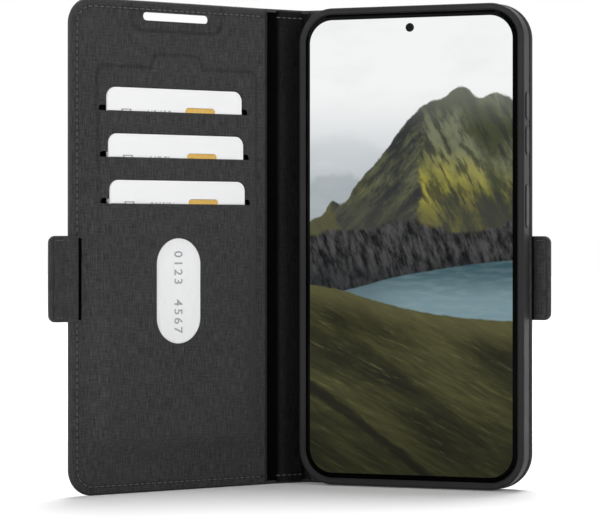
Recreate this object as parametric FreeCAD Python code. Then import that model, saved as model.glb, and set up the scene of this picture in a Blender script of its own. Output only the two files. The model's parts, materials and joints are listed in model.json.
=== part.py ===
"""Folding phone wallet case with three card pockets, an ID window, a phone tray and two magnetic tabs.

Units are millimetres.  The case is drawn flat and open first.  In that flat layout the back crease is the
Z axis line x = 0, the back cover runs along +X, the spine and the front cover run along -X, the bottom edge
is z = 0, and the outer face of the leather is y = 0 with the inside of the case towards -Y.  A "depth" is
the distance inwards from the outer leather face.  The spine and the front cover are then folded to the rest
pose, and everything is moved so that the origin is the centre of the bottom of the whole case.
"""
import FreeCAD, Part
import os

Vector = FreeCAD.Vector

# ---- overall sizes: the case is cut to fit its phone ----------------------------------------------------
phone_width = 75.0
phone_height = 159.5
phone_thickness = 7.6
phone_corner = 9.6
cover_margin = 0.35            # covers reach this far past the tray at the top and bottom
front_edge_inset = 0.2         # the shut front cover stops this far short of the tray's side
shut_gap = 0.26                # pockets to the phone's glass when the case is shut
spine_rest_bend = 50.0         # degrees that the spine is folded inwards at rest
front_rest_bend = 5.0          # degrees that the front cover is folded at rest, measured from the spine
rear_tab_rest_bend = 8.0       # degrees that the rear tab is folded inwards at rest

# ---- leather, board and fabric -------------------------------------------------------------------------
skin_thickness = 0.6
board_thickness = 0.8
lining_thickness = 0.3
rim_width = 0.6                # leather turned over the edges of the boards
board_clearance = 0.05         # between a board and the turned leather
crease_board_setback = 1.5     # boards and turned edges stop this far from a crease
crease_lining_setback = 1.6
crease_round = skin_thickness / 2
crease_gap = 0.3               # running gap around the rounded crease edge
lining_inset = 0.5             # lining edge to cover edge
front_corner = 9.0             # radius of the front cover's two free corners
stiffener_thickness = 0.3
stiffener_setback = 2.0
spine_lining_thickness = 0.25

# ---- phone tray --------------------------------------------------------------------------------
tray_wall = 2.4
tray_back_wall = 0.9
tray_clearance = 0.1           # phone to tray, sides
tray_seat_gap = 0.05           # phone to tray, back
tray_lip = 0.3                 # lip stands this far proud of the phone's glass
tray_crease_gap = 1.2          # tray side to the back crease
tray_back_round = 2.2
tray_lip_round = 0.7
tray_lip_chamfer = 0.5
glue_thickness = 0.15
glue_margin = 4.0
glue_camera_margin = 1.0       # adhesive stops this far from the camera window

# ---- openings in the tray ------------------------------------------------------------------------------
camera_margin = 6.5            # camera island to the phone's edges
camera_island_width = 20.0
camera_island_height = 42.0
camera_island_corner = 5.5
camera_window_clearance = 1.2
charge_opening_width = 13.0
charge_opening_depth = 6.0
speaker_hole_radius = 0.9
speaker_hole_pitch = 3.2
speaker_hole_count = 5
speaker_first_offset = 14.0
microphone_hole_radius = 0.8
microphone_offset = -13.0
top_microphone_offset = 8.0

# ---- side buttons --------------------------------------------------------------------------------------
button_width = 3.6
button_proud = 0.35
button_hole_clearance = 0.15
button_reach_gap = 0.45        # inner face of a button cover to the phone's key
volume_up_centre = 130.0
volume_up_length = 9.2
volume_down_centre = 118.4
volume_down_length = 9.4
power_centre = 96.3
power_length = 14.6
key_width = 2.2
key_depth = 1.2
key_side_clearance = 0.1
key_inset = 0.05

# ---- phone build ---------------------------------------------------------------------------------------
glass_thickness = 0.6
display_thickness = 0.3
display_side_border = 1.55
display_end_border = 1.8
frame_wall = 2.2
core_clearance = 0.1
camera_plate_thickness = 0.7
camera_lens_thickness = 0.35
camera_lens_radius = 5.2
camera_lens_pitch = 12.6
flash_radius = 1.6
flash_offset_x = 6.6
flash_offset_z = 16.6
front_camera_radius = 1.6
front_camera_drop = 5.0        # centre below the phone's top edge
port_width = 9.0
port_thickness = 3.2
port_length = 6.5

# ---- cards and pockets ---------------------------------------------------------------------------------
card_width = 53.98
card_height = 85.6
card_thickness = 0.76
card_corner = 3.18
card_play = 0.02               # card face to the sheets beside it
card_seam_gap = 0.14           # lets the first card pass over the thread on the lining
card_side_play = 0.3
card_seat_play = 0.2
card_visible = 7.8
chip_width = 12.0
chip_height = 9.6
chip_thickness = 0.01
chip_drop = 6.1                # top of the contact plate below the card's upper edge
chip_from_side = 31.0
chip_corner = 1.2
pocket_sheet = 0.15
pocket_front_sheet = 0.3
pocket_rail = 2.8
pocket_foot = 2.4
pocket_shift = 0.5             # pockets lie this far from the cover's middle, towards the spine
pocket_bottom = 18.0
top_slit_height = 127.9
slit_pitch = 15.5
slit_relief_radius = 1.2
window_width = 17.7
window_height = 35.5
window_centre_height = 67.6
window_shift = -0.1             # window middle to pocket middle
film_border = 1.5
film_thickness = 0.13

# ---- call slot and seams -------------------------------------------------------------------------------
call_slot_length = 26.7
call_slot_height = 2.8
call_slot_shift = 1.6          # slot middle to the cover's middle, towards the spine
call_slot_centre_drop = 5.2
seam_inset = 2.7
seam_width = 0.5
seam_thickness = 0.12

# ---- tabs ----------------------------------------------------------------------------------------------
tab_bottom = 57.6
tab_height = 28.5
tab_axis_gap = 0.9             # tab hinge to the tray's side when the case is shut
tab_length = 6.2               # hinge to tip
tab_neck = 1.1                 # hinge to the thick part
tab_outer_offset = -0.6        # tab faces, measured inwards from the hinge line
tab_split_offset = 0.15
tab_inner_offset = 1.4
tab_corner = 2.4
tab_base_length = 3.2
tab_base_thickness = 0.6
tab_base_play = 0.1
magnet_length = 20.0
magnet_width = 3.2
magnet_thickness = 0.8
magnet_play = 0.05
tab_seam_inset = 1.1

# ---- depths of each layer, worked out from the sizes above ----------------------------------------------
board_inner_depth = skin_thickness + board_thickness
lining_inner_depth = board_inner_depth + lining_thickness
tray_outer_depth = lining_inner_depth + glue_thickness
tray_floor_depth = tray_outer_depth + tray_back_wall
phone_back_depth = tray_floor_depth + tray_seat_gap
phone_front_depth = phone_back_depth + phone_thickness
tray_lip_depth = phone_front_depth + tray_lip
card_step = card_thickness + 2 * card_play + pocket_sheet
first_card_depth = lining_inner_depth + card_seam_gap + card_play
pocket_face_depth = first_card_depth + 2 * card_step + card_thickness + card_play + pocket_front_sheet

# ---- plan positions in the flat layout -------------------------------------------------------------------
tray_width = phone_width + 2 * (tray_wall + tray_clearance)
tray_height = phone_height + 2 * (tray_wall + tray_clearance)
tray_left = tray_crease_gap
tray_right = tray_left + tray_width
tray_bottom = cover_margin
tray_top = tray_bottom + tray_height
tray_corner = phone_corner + tray_clearance + tray_wall
phone_left = tray_left + tray_wall + tray_clearance
phone_right = phone_left + phone_width
phone_bottom = tray_bottom + tray_wall + tray_clearance
phone_top = phone_bottom + phone_height
phone_middle_depth = (phone_back_depth + phone_front_depth) / 2
case_height = tray_height + 2 * cover_margin
back_edge = tray_right
axis_depth = skin_thickness / 2
spine_width = (phone_front_depth - axis_depth) + (pocket_face_depth - axis_depth) + shut_gap
front_width = tray_right - front_edge_inset
front_crease = -spine_width
front_edge = front_crease - front_width
front_middle = front_crease - front_width / 2
pocket_middle_x = front_middle + pocket_shift
window_middle_x = pocket_middle_x + window_shift
front_tab_axis = front_crease - (tray_right + tab_axis_gap)
rear_tab_axis = tray_right + tab_axis_gap
card_left = pocket_middle_x - card_width / 2
card_right = card_left + card_width
camera_centre_x = phone_right - camera_margin - camera_island_width / 2
camera_centre_z = phone_top - camera_margin - camera_island_height / 2


# ---- basic solids ----------------------------------------------------------------------------------------
def box(x0, x1, z0, z1, depth0, depth1):
    """A plain block between two X values, two heights and two depths."""
    return Part.makeBox(x1 - x0, depth1 - depth0, z1 - z0, Vector(x0, -depth1, z0))


def outline(x0, x1, z0, z1, radii, y):
    """A closed wire with four corner radii: low-left, low-right, high-right, high-left."""
    low_left, low_right, high_right, high_left = radii
    half = 2 ** 0.5 / 2
    corners = [
        (Vector(x0, y, z0), low_left, Vector(1, 0, 1), Vector(0, 0, 1), Vector(1, 0, 0)),
        (Vector(x1, y, z0), low_right, Vector(-1, 0, 1), Vector(-1, 0, 0), Vector(0, 0, 1)),
        (Vector(x1, y, z1), high_right, Vector(-1, 0, -1), Vector(0, 0, -1), Vector(-1, 0, 0)),
        (Vector(x0, y, z1), high_left, Vector(1, 0, -1), Vector(1, 0, 0), Vector(0, 0, -1)),
    ]
    edges = []
    last = None
    first = None
    for corner, radius, inwards, entry, leave in corners:
        start = corner + entry * radius
        end = corner + leave * radius
        if last is not None and last.distanceToPoint(start) > 1e-6:
            edges.append(Part.LineSegment(last, start).toShape())
        if first is None:
            first = start
        if radius > 0:
            centre = corner + inwards * radius
            middle = centre - inwards * (radius * half)
            edges.append(Part.Arc(start, middle, end).toShape())
        last = end
    if last.distanceToPoint(first) > 1e-6:
        edges.append(Part.LineSegment(last, first).toShape())
    return Part.Wire(edges)


def plate(x0, x1, z0, z1, depth0, depth1, radii=(0, 0, 0, 0)):
    """A flat plate with four corner radii, lying between two depths."""
    if not isinstance(radii, tuple):
        radii = (radii, radii, radii, radii)
    face = Part.Face(outline(x0, x1, z0, z1, radii, -depth0))
    return face.extrude(Vector(0, depth0 - depth1, 0))


def slot(centre_x, centre_z, width, height, depth0, depth1):
    """A plate with fully rounded ends."""
    radius = min(width, height) / 2
    left = centre_x - width / 2
    bottom = centre_z - height / 2
    return plate(left, left + width, bottom, bottom + height, depth0, depth1, radius)


def disc(centre_x, centre_z, radius, depth0, depth1):
    """A round disc that lies between two depths."""
    return Part.makeCylinder(radius, depth1 - depth0, Vector(centre_x, -depth0, centre_z), Vector(0, -1, 0))


def upright(x, depth, radius, z0, z1):
    """An upright cylinder."""
    return Part.makeCylinder(radius, z1 - z0, Vector(x, -depth, z0), Vector(0, 0, 1))


def side_peg(x0, x1, centre_z, length, width, depth):
    """A peg along X with a rounded section: length is its height and width its extent in depth."""
    half_flat = (length - width) / 2
    bar = Part.makeBox(x1 - x0, width, 2 * half_flat, Vector(x0, -depth - width / 2, centre_z - half_flat))
    low = Part.makeCylinder(width / 2, x1 - x0, Vector(x0, -depth, centre_z - half_flat), Vector(1, 0, 0))
    high = Part.makeCylinder(width / 2, x1 - x0, Vector(x0, -depth, centre_z + half_flat), Vector(1, 0, 0))
    return bar.fuse([low, high]).removeSplitter()


def end_peg(centre_x, z0, z1, width, thickness, depth):
    """A peg along Z with a rounded section: width is its extent in X."""
    half_flat = (width - thickness) / 2
    bar = Part.makeBox(2 * half_flat, thickness, z1 - z0, Vector(centre_x - half_flat, -depth - thickness / 2, z0))
    left = upright(centre_x - half_flat, depth, thickness / 2, z0, z1)
    right = upright(centre_x + half_flat, depth, thickness / 2, z0, z1)
    return bar.fuse([left, right]).removeSplitter()


def edges_at(shape, depth, keep):
    """Edges that lie wholly at one depth and whose middle passes the keep test."""
    found = []
    for edge in shape.Edges:
        bounds = edge.BoundBox
        if abs(bounds.YMin + depth) < 1e-4 and abs(bounds.YMax + depth) < 1e-4 and keep(edge.CenterOfMass):
            found.append(edge)
    return found


# ---- cover layers ----------------------------------------------------------------------------------------
def camera_window(depth0, depth1, extra=0.0):
    """The cut that clears the phone's camera island."""
    grow = camera_window_clearance + extra
    width = camera_island_width + 2 * grow
    height = camera_island_height + 2 * grow
    left = camera_centre_x - width / 2
    bottom = camera_centre_z - height / 2
    return plate(left, left + width, bottom, bottom + height, depth0, depth1, camera_island_corner + grow)


def call_slot(depth0, depth1):
    """The cut over the phone's earpiece."""
    centre_z = case_height - call_slot_centre_drop
    return slot(front_middle + call_slot_shift, centre_z, call_slot_length, call_slot_height, depth0, depth1)


def crease_cut(x):
    """The round clearance that a neighbouring strip keeps around a crease."""
    return upright(x, axis_depth, crease_round + crease_gap, -1, case_height + 1)


def tab_ear(axis_x, cover_edge):
    """The short piece of leather between a cover's edge and its tab's hinge."""
    left = min(axis_x, cover_edge - 1 if axis_x > cover_edge else cover_edge + 1)
    right = max(axis_x, cover_edge - 1 if axis_x > cover_edge else cover_edge + 1)
    strip = box(left, right, tab_bottom, tab_bottom + tab_height, 0, skin_thickness)
    return strip.cut(upright(axis_x, axis_depth, crease_round + crease_gap, tab_bottom - 1, case_height))


def make_back_skin():
    """Outer leather of the back cover, with its turned edges."""
    radii = (0, tray_corner, tray_corner, 0)
    inner_radii = (0, tray_corner - rim_width, tray_corner - rim_width, 0)
    tray = plate(0, back_edge, 0, case_height, 0, board_inner_depth, radii)
    hollow = plate(-1, back_edge - rim_width, rim_width, case_height - rim_width,
                   skin_thickness, board_inner_depth + 1, inner_radii)
    crease_side = box(-1, crease_board_setback, -1, case_height + 1, skin_thickness, board_inner_depth + 1)
    skin = tray.cut([hollow, crease_side, crease_cut(0), camera_window(-1, skin_thickness + 1)])
    return skin.fuse(tab_ear(rear_tab_axis, back_edge)).removeSplitter()


def make_back_board():
    """Stiff board inside the back cover."""
    play = rim_width + board_clearance
    radius = tray_corner - play
    board = plate(crease_board_setback, back_edge - play, play, case_height - play,
                  skin_thickness, board_inner_depth, (0, radius, radius, 0))
    return board.cut(camera_window(0, board_inner_depth + 1))


def make_back_lining():
    """Woven lining over the back board, under the tray."""
    radius = tray_corner - lining_inset
    lining = plate(crease_lining_setback, back_edge - lining_inset, lining_inset, case_height - lining_inset,
                   board_inner_depth, lining_inner_depth, (0, radius, radius, 0))
    return lining.cut(camera_window(board_inner_depth - 1, lining_inner_depth + 1))


def edge_seam(crease_x, edge_x, radius):
    """A thread line that runs along the top, the free edge and the bottom of a cover."""
    away = 1 if edge_x > crease_x else -1
    start = crease_x + away * (crease_lining_setback + seam_inset)
    outer_end = edge_x - away * (seam_inset - seam_width / 2)
    inner_end = edge_x - away * (seam_inset + seam_width / 2)
    low = seam_inset - seam_width / 2
    high = seam_inset + seam_width / 2
    depth0 = lining_inner_depth
    depth1 = depth0 + seam_thickness
    outer_radius = radius - low
    inner_radius = radius - high
    if away > 0:
        outer = plate(start, outer_end, low, case_height - low, depth0, depth1,
                      (0, outer_radius, outer_radius, 0))
        inner = plate(start - 1, inner_end, high, case_height - high, depth0 - 1, depth1 + 1,
                      (0, inner_radius, inner_radius, 0))
        return outer.cut(inner)
    outer = plate(outer_end, start, low, case_height - low, depth0, depth1,
                  (outer_radius, 0, 0, outer_radius))
    inner = plate(inner_end, start + 1, high, case_height - high, depth0 - 1, depth1 + 1,
                  (inner_radius, 0, 0, inner_radius))
    return outer.cut(inner)


def make_back_seam():
    """Thread line on the back cover, under the tray's rim, broken where the camera window passes."""
    seam = edge_seam(0, back_edge, tray_corner)
    return seam.cut(camera_window(0, tray_lip_depth, seam_width))


def make_glue_pad():
    """Adhesive sheet that holds the tray on the back cover."""
    pad = plate(tray_left + glue_margin, tray_right - glue_margin, tray_bottom + glue_margin,
                tray_top - glue_margin, lining_inner_depth, tray_outer_depth, tray_corner - glue_margin)
    return pad.cut(camera_window(0, tray_lip_depth, glue_camera_margin))


def make_spine_skin():
    """Outer leather of the spine, rounded at both creases."""
    strip = box(front_crease, 0, 0, case_height, 0, skin_thickness)
    left_round = upright(front_crease, axis_depth, crease_round, 0, case_height)
    right_round = upright(0, axis_depth, crease_round, 0, case_height)
    return strip.fuse([left_round, right_round]).removeSplitter()


def make_spine_stiffener():
    """Thin fibre strip inside the spine."""
    return box(front_crease + stiffener_setback, -stiffener_setback, lining_inset, case_height - lining_inset,
               skin_thickness, skin_thickness + stiffener_thickness)


def make_spine_lining():
    """Soft lining on the inside of the spine."""
    outer = skin_thickness + stiffener_thickness
    return box(front_crease + crease_lining_setback, -crease_lining_setback, lining_inset,
               case_height - lining_inset, outer, outer + spine_lining_thickness)


def make_front_skin():
    """Outer leather of the front cover, with its turned edges and the call slot."""
    tray = plate(front_edge, front_crease, 0, case_height, 0, board_inner_depth,
                 (front_corner, 0, 0, front_corner))
    inner = front_corner - rim_width
    hollow = plate(front_edge + rim_width, front_crease + 1, rim_width, case_height - rim_width,
                   skin_thickness, board_inner_depth + 1, (inner, 0, 0, inner))
    crease_side = box(front_crease - crease_board_setback, front_crease + 1, -1, case_height + 1,
                      skin_thickness, board_inner_depth + 1)
    skin = tray.cut([hollow, crease_side, crease_cut(front_crease), call_slot(-1, skin_thickness + 1)])
    return skin.fuse(tab_ear(front_tab_axis, front_edge)).removeSplitter()


def make_front_board():
    """Stiff board inside the front cover."""
    play = rim_width + board_clearance
    radius = front_corner - play
    board = plate(front_edge + play, front_crease - crease_board_setback, play, case_height - play,
                  skin_thickness, board_inner_depth, (radius, 0, 0, radius))
    return board.cut(call_slot(0, board_inner_depth + 1))


def make_front_lining():
    """Woven lining on the front board, with the call slot and a rebate for the tab's base."""
    radius = front_corner - lining_inset
    lining = plate(front_edge + lining_inset, front_crease - crease_lining_setback, lining_inset,
                   case_height - lining_inset, board_inner_depth, lining_inner_depth,
                   (radius, 0, 0, radius))
    rebate = box(front_edge - 1, front_edge + tab_base_length + tab_base_play, tab_bottom - tab_base_play,
                 tab_bottom + tab_height + tab_base_play, 0, lining_inner_depth + 1)
    return lining.cut([call_slot(0, lining_inner_depth + 1), rebate])


def make_front_seam():
    """Thread line on the front cover's lining, broken at the tab's base."""
    seam = edge_seam(front_crease, front_edge, front_corner)
    rebate = box(front_edge - 1, front_edge + tab_base_length + tab_base_play, tab_bottom - seam_width,
                 tab_bottom + tab_height + seam_width, 0, lining_inner_depth + 1)
    return seam.cut(rebate)


# ---- pockets and cards -------------------------------------------------------------------------------------
def slit_height(index):
    """Height of the slit of pocket 0 (top), 1 (middle) or 2 (bottom)."""
    return top_slit_height - index * slit_pitch


def card_bottom(index):
    """Height of a seated card's lower edge."""
    return slit_height(index) + card_visible - card_height


def card_depth(index):
    """Depth of the face of a card that lies against the pocket behind it."""
    return first_card_depth + index * card_step


def make_pocket(index):
    """One pocket: a sheet in front of its card, and a welded edge at its sides and foot."""
    sheet = pocket_front_sheet if index == 2 else pocket_sheet
    back = lining_inner_depth if index == 0 else card_depth(index) - card_play
    face = card_depth(index) + card_thickness + card_play
    rail_left = card_left - card_side_play
    rail_right = card_right + card_side_play
    foot_top = card_bottom(index) - card_seat_play
    top = slit_height(index)
    body = box(rail_left - pocket_rail, rail_right + pocket_rail, pocket_bottom - pocket_foot, top,
               back, face + sheet)
    card_space = box(rail_left, rail_right, foot_top, top + 1, back - 1, face)
    cuts = [card_space]
    if foot_top - pocket_foot > pocket_bottom:
        cuts.append(box(rail_left, rail_right, pocket_bottom, foot_top - pocket_foot, back - 1, face))
    for x in (rail_left - slit_relief_radius / 2, rail_right + slit_relief_radius / 2):
        cuts.append(disc(x, top, slit_relief_radius, face, face + sheet + 1))
    if index == 2:
        cuts.append(slot(window_middle_x, window_centre_height, window_width, window_height, face - 1, face + 1))
        cuts.append(slot(window_middle_x, window_centre_height, window_width + 2 * film_border,
                         window_height + 2 * film_border, face - 1, face + sheet / 2))
    return body.cut(cuts)


def make_window_film():
    """Clear film behind the ID window."""
    face = card_depth(2) + card_thickness + card_play
    border = film_border - card_play
    return slot(window_middle_x, window_centre_height, window_width + 2 * border,
                window_height + 2 * border, face, face + film_thickness)


def make_card(index):
    """One card, standing upright in its pocket."""
    low = card_bottom(index)
    back = card_depth(index)
    return plate(card_left, card_right, low, low + card_height, back, back + card_thickness, card_corner)


def make_chip(index):
    """Contact plate on the face of a card."""
    face = card_depth(index) + card_thickness
    top = card_bottom(index) + card_height - chip_drop
    left = card_left + chip_from_side
    return plate(left, left + chip_width, top - chip_height, top, face, face + chip_thickness, chip_corner)


# ---- tabs ------------------------------------------------------------------------------------------------
def make_tab_pieces(axis_x, away):
    """Leather back, magnet, leather face and thread of one tab; away is -1 or +1 along X."""
    top = tab_bottom + tab_height
    near = axis_x + away * tab_neck
    tip = axis_x + away * tab_length
    low_x = min(near, tip)
    high_x = max(near, tip)
    radii = (tab_corner, 0, 0, tab_corner) if away < 0 else (0, tab_corner, tab_corner, 0)
    outer_depth = axis_depth + tab_outer_offset
    split_depth = axis_depth + tab_split_offset
    inner_depth = axis_depth + tab_inner_offset
    back = plate(low_x, high_x, tab_bottom, top, outer_depth, split_depth, radii)
    neck = box(min(axis_x, near + away), max(axis_x, near + away), tab_bottom, top, 0, skin_thickness)
    neck = neck.fuse(upright(axis_x, axis_depth, crease_round, tab_bottom, top))
    back = back.fuse(neck.cut(box(low_x, high_x, tab_bottom, top, split_depth, inner_depth))).removeSplitter()
    middle_x = (low_x + high_x) / 2
    middle_z = (tab_bottom + top) / 2
    hollow = box(middle_x - magnet_width / 2 - magnet_play, middle_x + magnet_width / 2 + magnet_play,
                 middle_z - magnet_length / 2 - magnet_play, middle_z + magnet_length / 2 + magnet_play,
                 split_depth - 1, split_depth + magnet_thickness + magnet_play)
    face = plate(low_x, high_x, tab_bottom, top, split_depth, inner_depth, radii).cut(hollow)
    magnet = box(middle_x - magnet_width / 2, middle_x + magnet_width / 2, middle_z - magnet_length / 2,
                 middle_z + magnet_length / 2, split_depth, split_depth + magnet_thickness)
    seam_low = box(low_x + tab_seam_inset, high_x - tab_seam_inset, tab_bottom + tab_seam_inset,
                   tab_bottom + tab_seam_inset + seam_width, inner_depth, inner_depth + seam_thickness)
    seam_high = box(low_x + tab_seam_inset, high_x - tab_seam_inset, top - tab_seam_inset - seam_width,
                    top - tab_seam_inset, inner_depth, inner_depth + seam_thickness)
    seam = Part.makeCompound([seam_low, seam_high])
    return back, magnet, face, seam


def make_front_tab_base():
    """Leather patch that anchors the front tab, let into the lining."""
    return plate(front_edge + rim_width, front_edge + tab_base_length, tab_bottom, tab_bottom + tab_height,
                 board_inner_depth, board_inner_depth + tab_base_thickness)


# ---- tray and buttons ------------------------------------------------------------------------------------
def button_sizes():
    """Name, centre height and length of each side button."""
    return [("volume_up", volume_up_centre, volume_up_length),
            ("volume_down", volume_down_centre, volume_down_length),
            ("power", power_centre, power_length)]


def make_tray():
    """Flexible tray that grips the phone, with all of its openings."""
    body = plate(tray_left, tray_right, tray_bottom, tray_top, tray_outer_depth, tray_lip_depth, tray_corner)
    body = body.makeFillet(tray_back_round, edges_at(body, tray_outer_depth, lambda point: True))
    body = body.makeFillet(tray_lip_round, edges_at(body, tray_lip_depth, lambda point: True))
    inset = tray_wall
    radius = tray_corner - tray_wall
    cavity = plate(tray_left + inset, tray_right - inset, tray_bottom + inset, tray_top - inset,
                   tray_floor_depth, tray_lip_depth + 1, radius)
    body = body.cut(cavity)

    def on_lip(point):
        inside_x = tray_left + inset - 0.1 < point.x < tray_right - inset + 0.1
        inside_z = tray_bottom + inset - 0.1 < point.z < tray_top - inset + 0.1
        return inside_x and inside_z

    body = body.makeChamfer(tray_lip_chamfer, edges_at(body, tray_lip_depth, on_lip))
    middle_x = (tray_left + tray_right) / 2
    cuts = [camera_window(0, tray_floor_depth + 1)]
    cuts.append(end_peg(middle_x, tray_bottom - 1, tray_bottom + inset + 1, charge_opening_width,
                        charge_opening_depth, phone_middle_depth))
    for index in range(speaker_hole_count):
        x = middle_x + speaker_first_offset + index * speaker_hole_pitch
        cuts.append(upright(x, phone_middle_depth, speaker_hole_radius, tray_bottom - 1, tray_bottom + inset + 1))
    cuts.append(upright(middle_x + microphone_offset, phone_middle_depth, microphone_hole_radius,
                        tray_bottom - 1, tray_bottom + inset + 1))
    cuts.append(upright(middle_x + top_microphone_offset, phone_middle_depth, microphone_hole_radius,
                        tray_top - inset - 1, tray_top + 1))
    for name, centre, length in button_sizes():
        cuts.append(side_peg(tray_right - inset - 1, tray_right + 1, centre, length + 2 * button_hole_clearance,
                             button_width + 2 * button_hole_clearance, phone_middle_depth))
    return body.cut(cuts)


def make_button(centre, length):
    """Cover of one side button."""
    inner = phone_right - key_inset + button_reach_gap
    return side_peg(inner, tray_right + button_proud, centre, length, button_width, phone_middle_depth)


# ---- phone -----------------------------------------------------------------------------------------------
def key_sizes():
    """Name, centre height and length of each key on the phone."""
    volume_low = volume_down_centre - volume_down_length / 2 + 1
    volume_high = volume_up_centre + volume_up_length / 2 - 1
    return [("phone_volume_key", (volume_low + volume_high) / 2, volume_high - volume_low),
            ("phone_power_key", power_centre, power_length - 3)]


def charge_port(z0, z1):
    """Socket in the phone's lower end."""
    return end_peg((phone_left + phone_right) / 2, z0, z1, port_width, port_thickness, phone_middle_depth)


def make_phone_frame():
    """Metal rim of the phone."""
    depth0 = phone_back_depth + glass_thickness
    depth1 = phone_front_depth - glass_thickness
    rim = plate(phone_left, phone_right, phone_bottom, phone_top, depth0, depth1, phone_corner)
    hollow = plate(phone_left + frame_wall, phone_right - frame_wall, phone_bottom + frame_wall,
                   phone_top - frame_wall, depth0 - 1, depth1 + 1, phone_corner - frame_wall)
    cuts = [hollow, charge_port(phone_bottom - 1, phone_bottom + frame_wall + 1)]
    for name, centre, length in key_sizes():
        cuts.append(side_peg(phone_right - key_inset - key_depth - 2 * key_side_clearance - 0.25,
                             phone_right + 1, centre, length + 2 * key_side_clearance,
                             key_width + 2 * key_side_clearance, phone_middle_depth))
    middle_x = (phone_left + phone_right) / 2
    for index in range(speaker_hole_count):
        x = middle_x + speaker_first_offset + index * speaker_hole_pitch
        cuts.append(upright(x, phone_middle_depth, speaker_hole_radius * 0.7, phone_bottom - 1, phone_bottom + 1.5))
    return rim.cut(cuts)


def make_phone_core():
    """Battery and electronics of the phone, as one block."""
    inset = frame_wall + core_clearance
    block = plate(phone_left + inset, phone_right - inset, phone_bottom + inset, phone_top - inset,
                  phone_back_depth + glass_thickness, phone_front_depth - glass_thickness - display_thickness,
                  phone_corner - inset)
    return block.cut(charge_port(phone_bottom, phone_bottom + port_length))


def make_phone_display():
    """Display panel under the front glass."""
    depth1 = phone_front_depth - glass_thickness
    inset = frame_wall + core_clearance
    radius = phone_corner - inset
    return plate(phone_left + inset, phone_right - inset, phone_bottom + inset, phone_top - inset,
                 depth1 - display_thickness, depth1, radius)


def make_phone_glass():
    """Front glass, over the display and the frame."""
    return plate(phone_left, phone_right, phone_bottom, phone_top, phone_front_depth - glass_thickness,
                 phone_front_depth, phone_corner)


def make_phone_back_glass():
    """Back cover of the phone."""
    return plate(phone_left, phone_right, phone_bottom, phone_top, phone_back_depth,
                 phone_back_depth + glass_thickness, phone_corner)


def make_camera_plate():
    """Raised island that carries the rear cameras."""
    left = camera_centre_x - camera_island_width / 2
    bottom = camera_centre_z - camera_island_height / 2
    return plate(left, left + camera_island_width, bottom, bottom + camera_island_height,
                 phone_back_depth - camera_plate_thickness, phone_back_depth, camera_island_corner)


def make_camera_lenses():
    """Three lens rings and a flash on the camera island."""
    depth1 = phone_back_depth - camera_plate_thickness
    depth0 = depth1 - camera_lens_thickness
    pieces = []
    for step in (-1, 0, 1):
        pieces.append(disc(camera_centre_x + 2.2, camera_centre_z + step * camera_lens_pitch,
                           camera_lens_radius, depth0, depth1))
    pieces.append(disc(camera_centre_x - flash_offset_x, camera_centre_z + flash_offset_z, flash_radius,
                       depth0, depth1))
    return Part.makeCompound(pieces)


def make_key(centre, length):
    """One key of the phone, flush in the frame."""
    outer = phone_right - key_inset
    return side_peg(outer - key_depth, outer, centre, length, key_width, phone_middle_depth)


# ---- folding and placing -----------------------------------------------------------------------------------
def fold_spine(shape):
    """Turn a shape with the spine, about the back crease."""
    shape = shape.copy()
    shape.rotate(Vector(0, -axis_depth, 0), Vector(0, 0, 1), spine_rest_bend)
    return shape


def fold_front(shape):
    """Turn a shape with the front cover, about the front crease and then the back crease."""
    shape = shape.copy()
    shape.rotate(Vector(front_crease, -axis_depth, 0), Vector(0, 0, 1), front_rest_bend)
    return fold_spine(shape)


def fold_rear_tab(shape):
    """Turn a shape with the rear tab, about the tab's hinge."""
    shape = shape.copy()
    shape.rotate(Vector(rear_tab_axis, -axis_depth, 0), Vector(0, 0, -1), rear_tab_rest_bend)
    return shape


def make_all():
    """Every node of the case in its rest pose, as a name-to-shape table, before centring."""
    nodes = {
        "back_skin": make_back_skin(),
        "back_board": make_back_board(),
        "back_lining": make_back_lining(),
        "back_seam": make_back_seam(),
        "glue_pad": make_glue_pad(),
        "phone_tray": make_tray(),
        "spine_skin": fold_spine(make_spine_skin()),
        "spine_stiffener": fold_spine(make_spine_stiffener()),
        "spine_lining": fold_spine(make_spine_lining()),
        "front_skin": fold_front(make_front_skin()),
        "front_board": fold_front(make_front_board()),
        "front_lining": fold_front(make_front_lining()),
        "front_seam": fold_front(make_front_seam()),
        "window_film": fold_front(make_window_film()),
        "front_tab_base": fold_front(make_front_tab_base()),
        "phone_frame": make_phone_frame(),
        "phone_core": make_phone_core(),
        "phone_display": make_phone_display(),
        "phone_glass": make_phone_glass(),
        "phone_back_glass": make_phone_back_glass(),
        "phone_camera_plate": make_camera_plate(),
        "phone_camera_lenses": make_camera_lenses(),
    }
    for index, name in enumerate(("top", "middle", "bottom")):
        nodes["pocket_" + name] = fold_front(make_pocket(index))
        nodes["card_" + name] = fold_front(make_card(index))
        nodes["card_" + name + "_chip"] = fold_front(make_chip(index))
    for name, centre, length in button_sizes():
        nodes[name + "_cover"] = make_button(centre, length)
    for name, centre, length in key_sizes():
        nodes[name] = make_key(centre, length)
    tab_names = ("outer", "magnet", "inner", "seam")
    for part_name, shape in zip(tab_names, make_tab_pieces(front_tab_axis, -1)):
        nodes["front_tab_" + part_name] = fold_front(shape)
    for part_name, shape in zip(tab_names, make_tab_pieces(rear_tab_axis, 1)):
        nodes["rear_tab_" + part_name] = fold_rear_tab(shape)
    return nodes


def hinge_points():
    """Each hinge line's plan position in the rest pose, before centring."""
    front_tab = Part.Vertex(front_tab_axis, -axis_depth, 0)
    return {
        "spine_fold": Vector(0, -axis_depth, 0),
        "cover_fold": fold_spine(Part.Vertex(front_crease, -axis_depth, 0)).Point,
        "front_tab_fold": fold_front(front_tab).Point,
        "rear_tab_fold": Vector(rear_tab_axis, -axis_depth, 0),
    }


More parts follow.
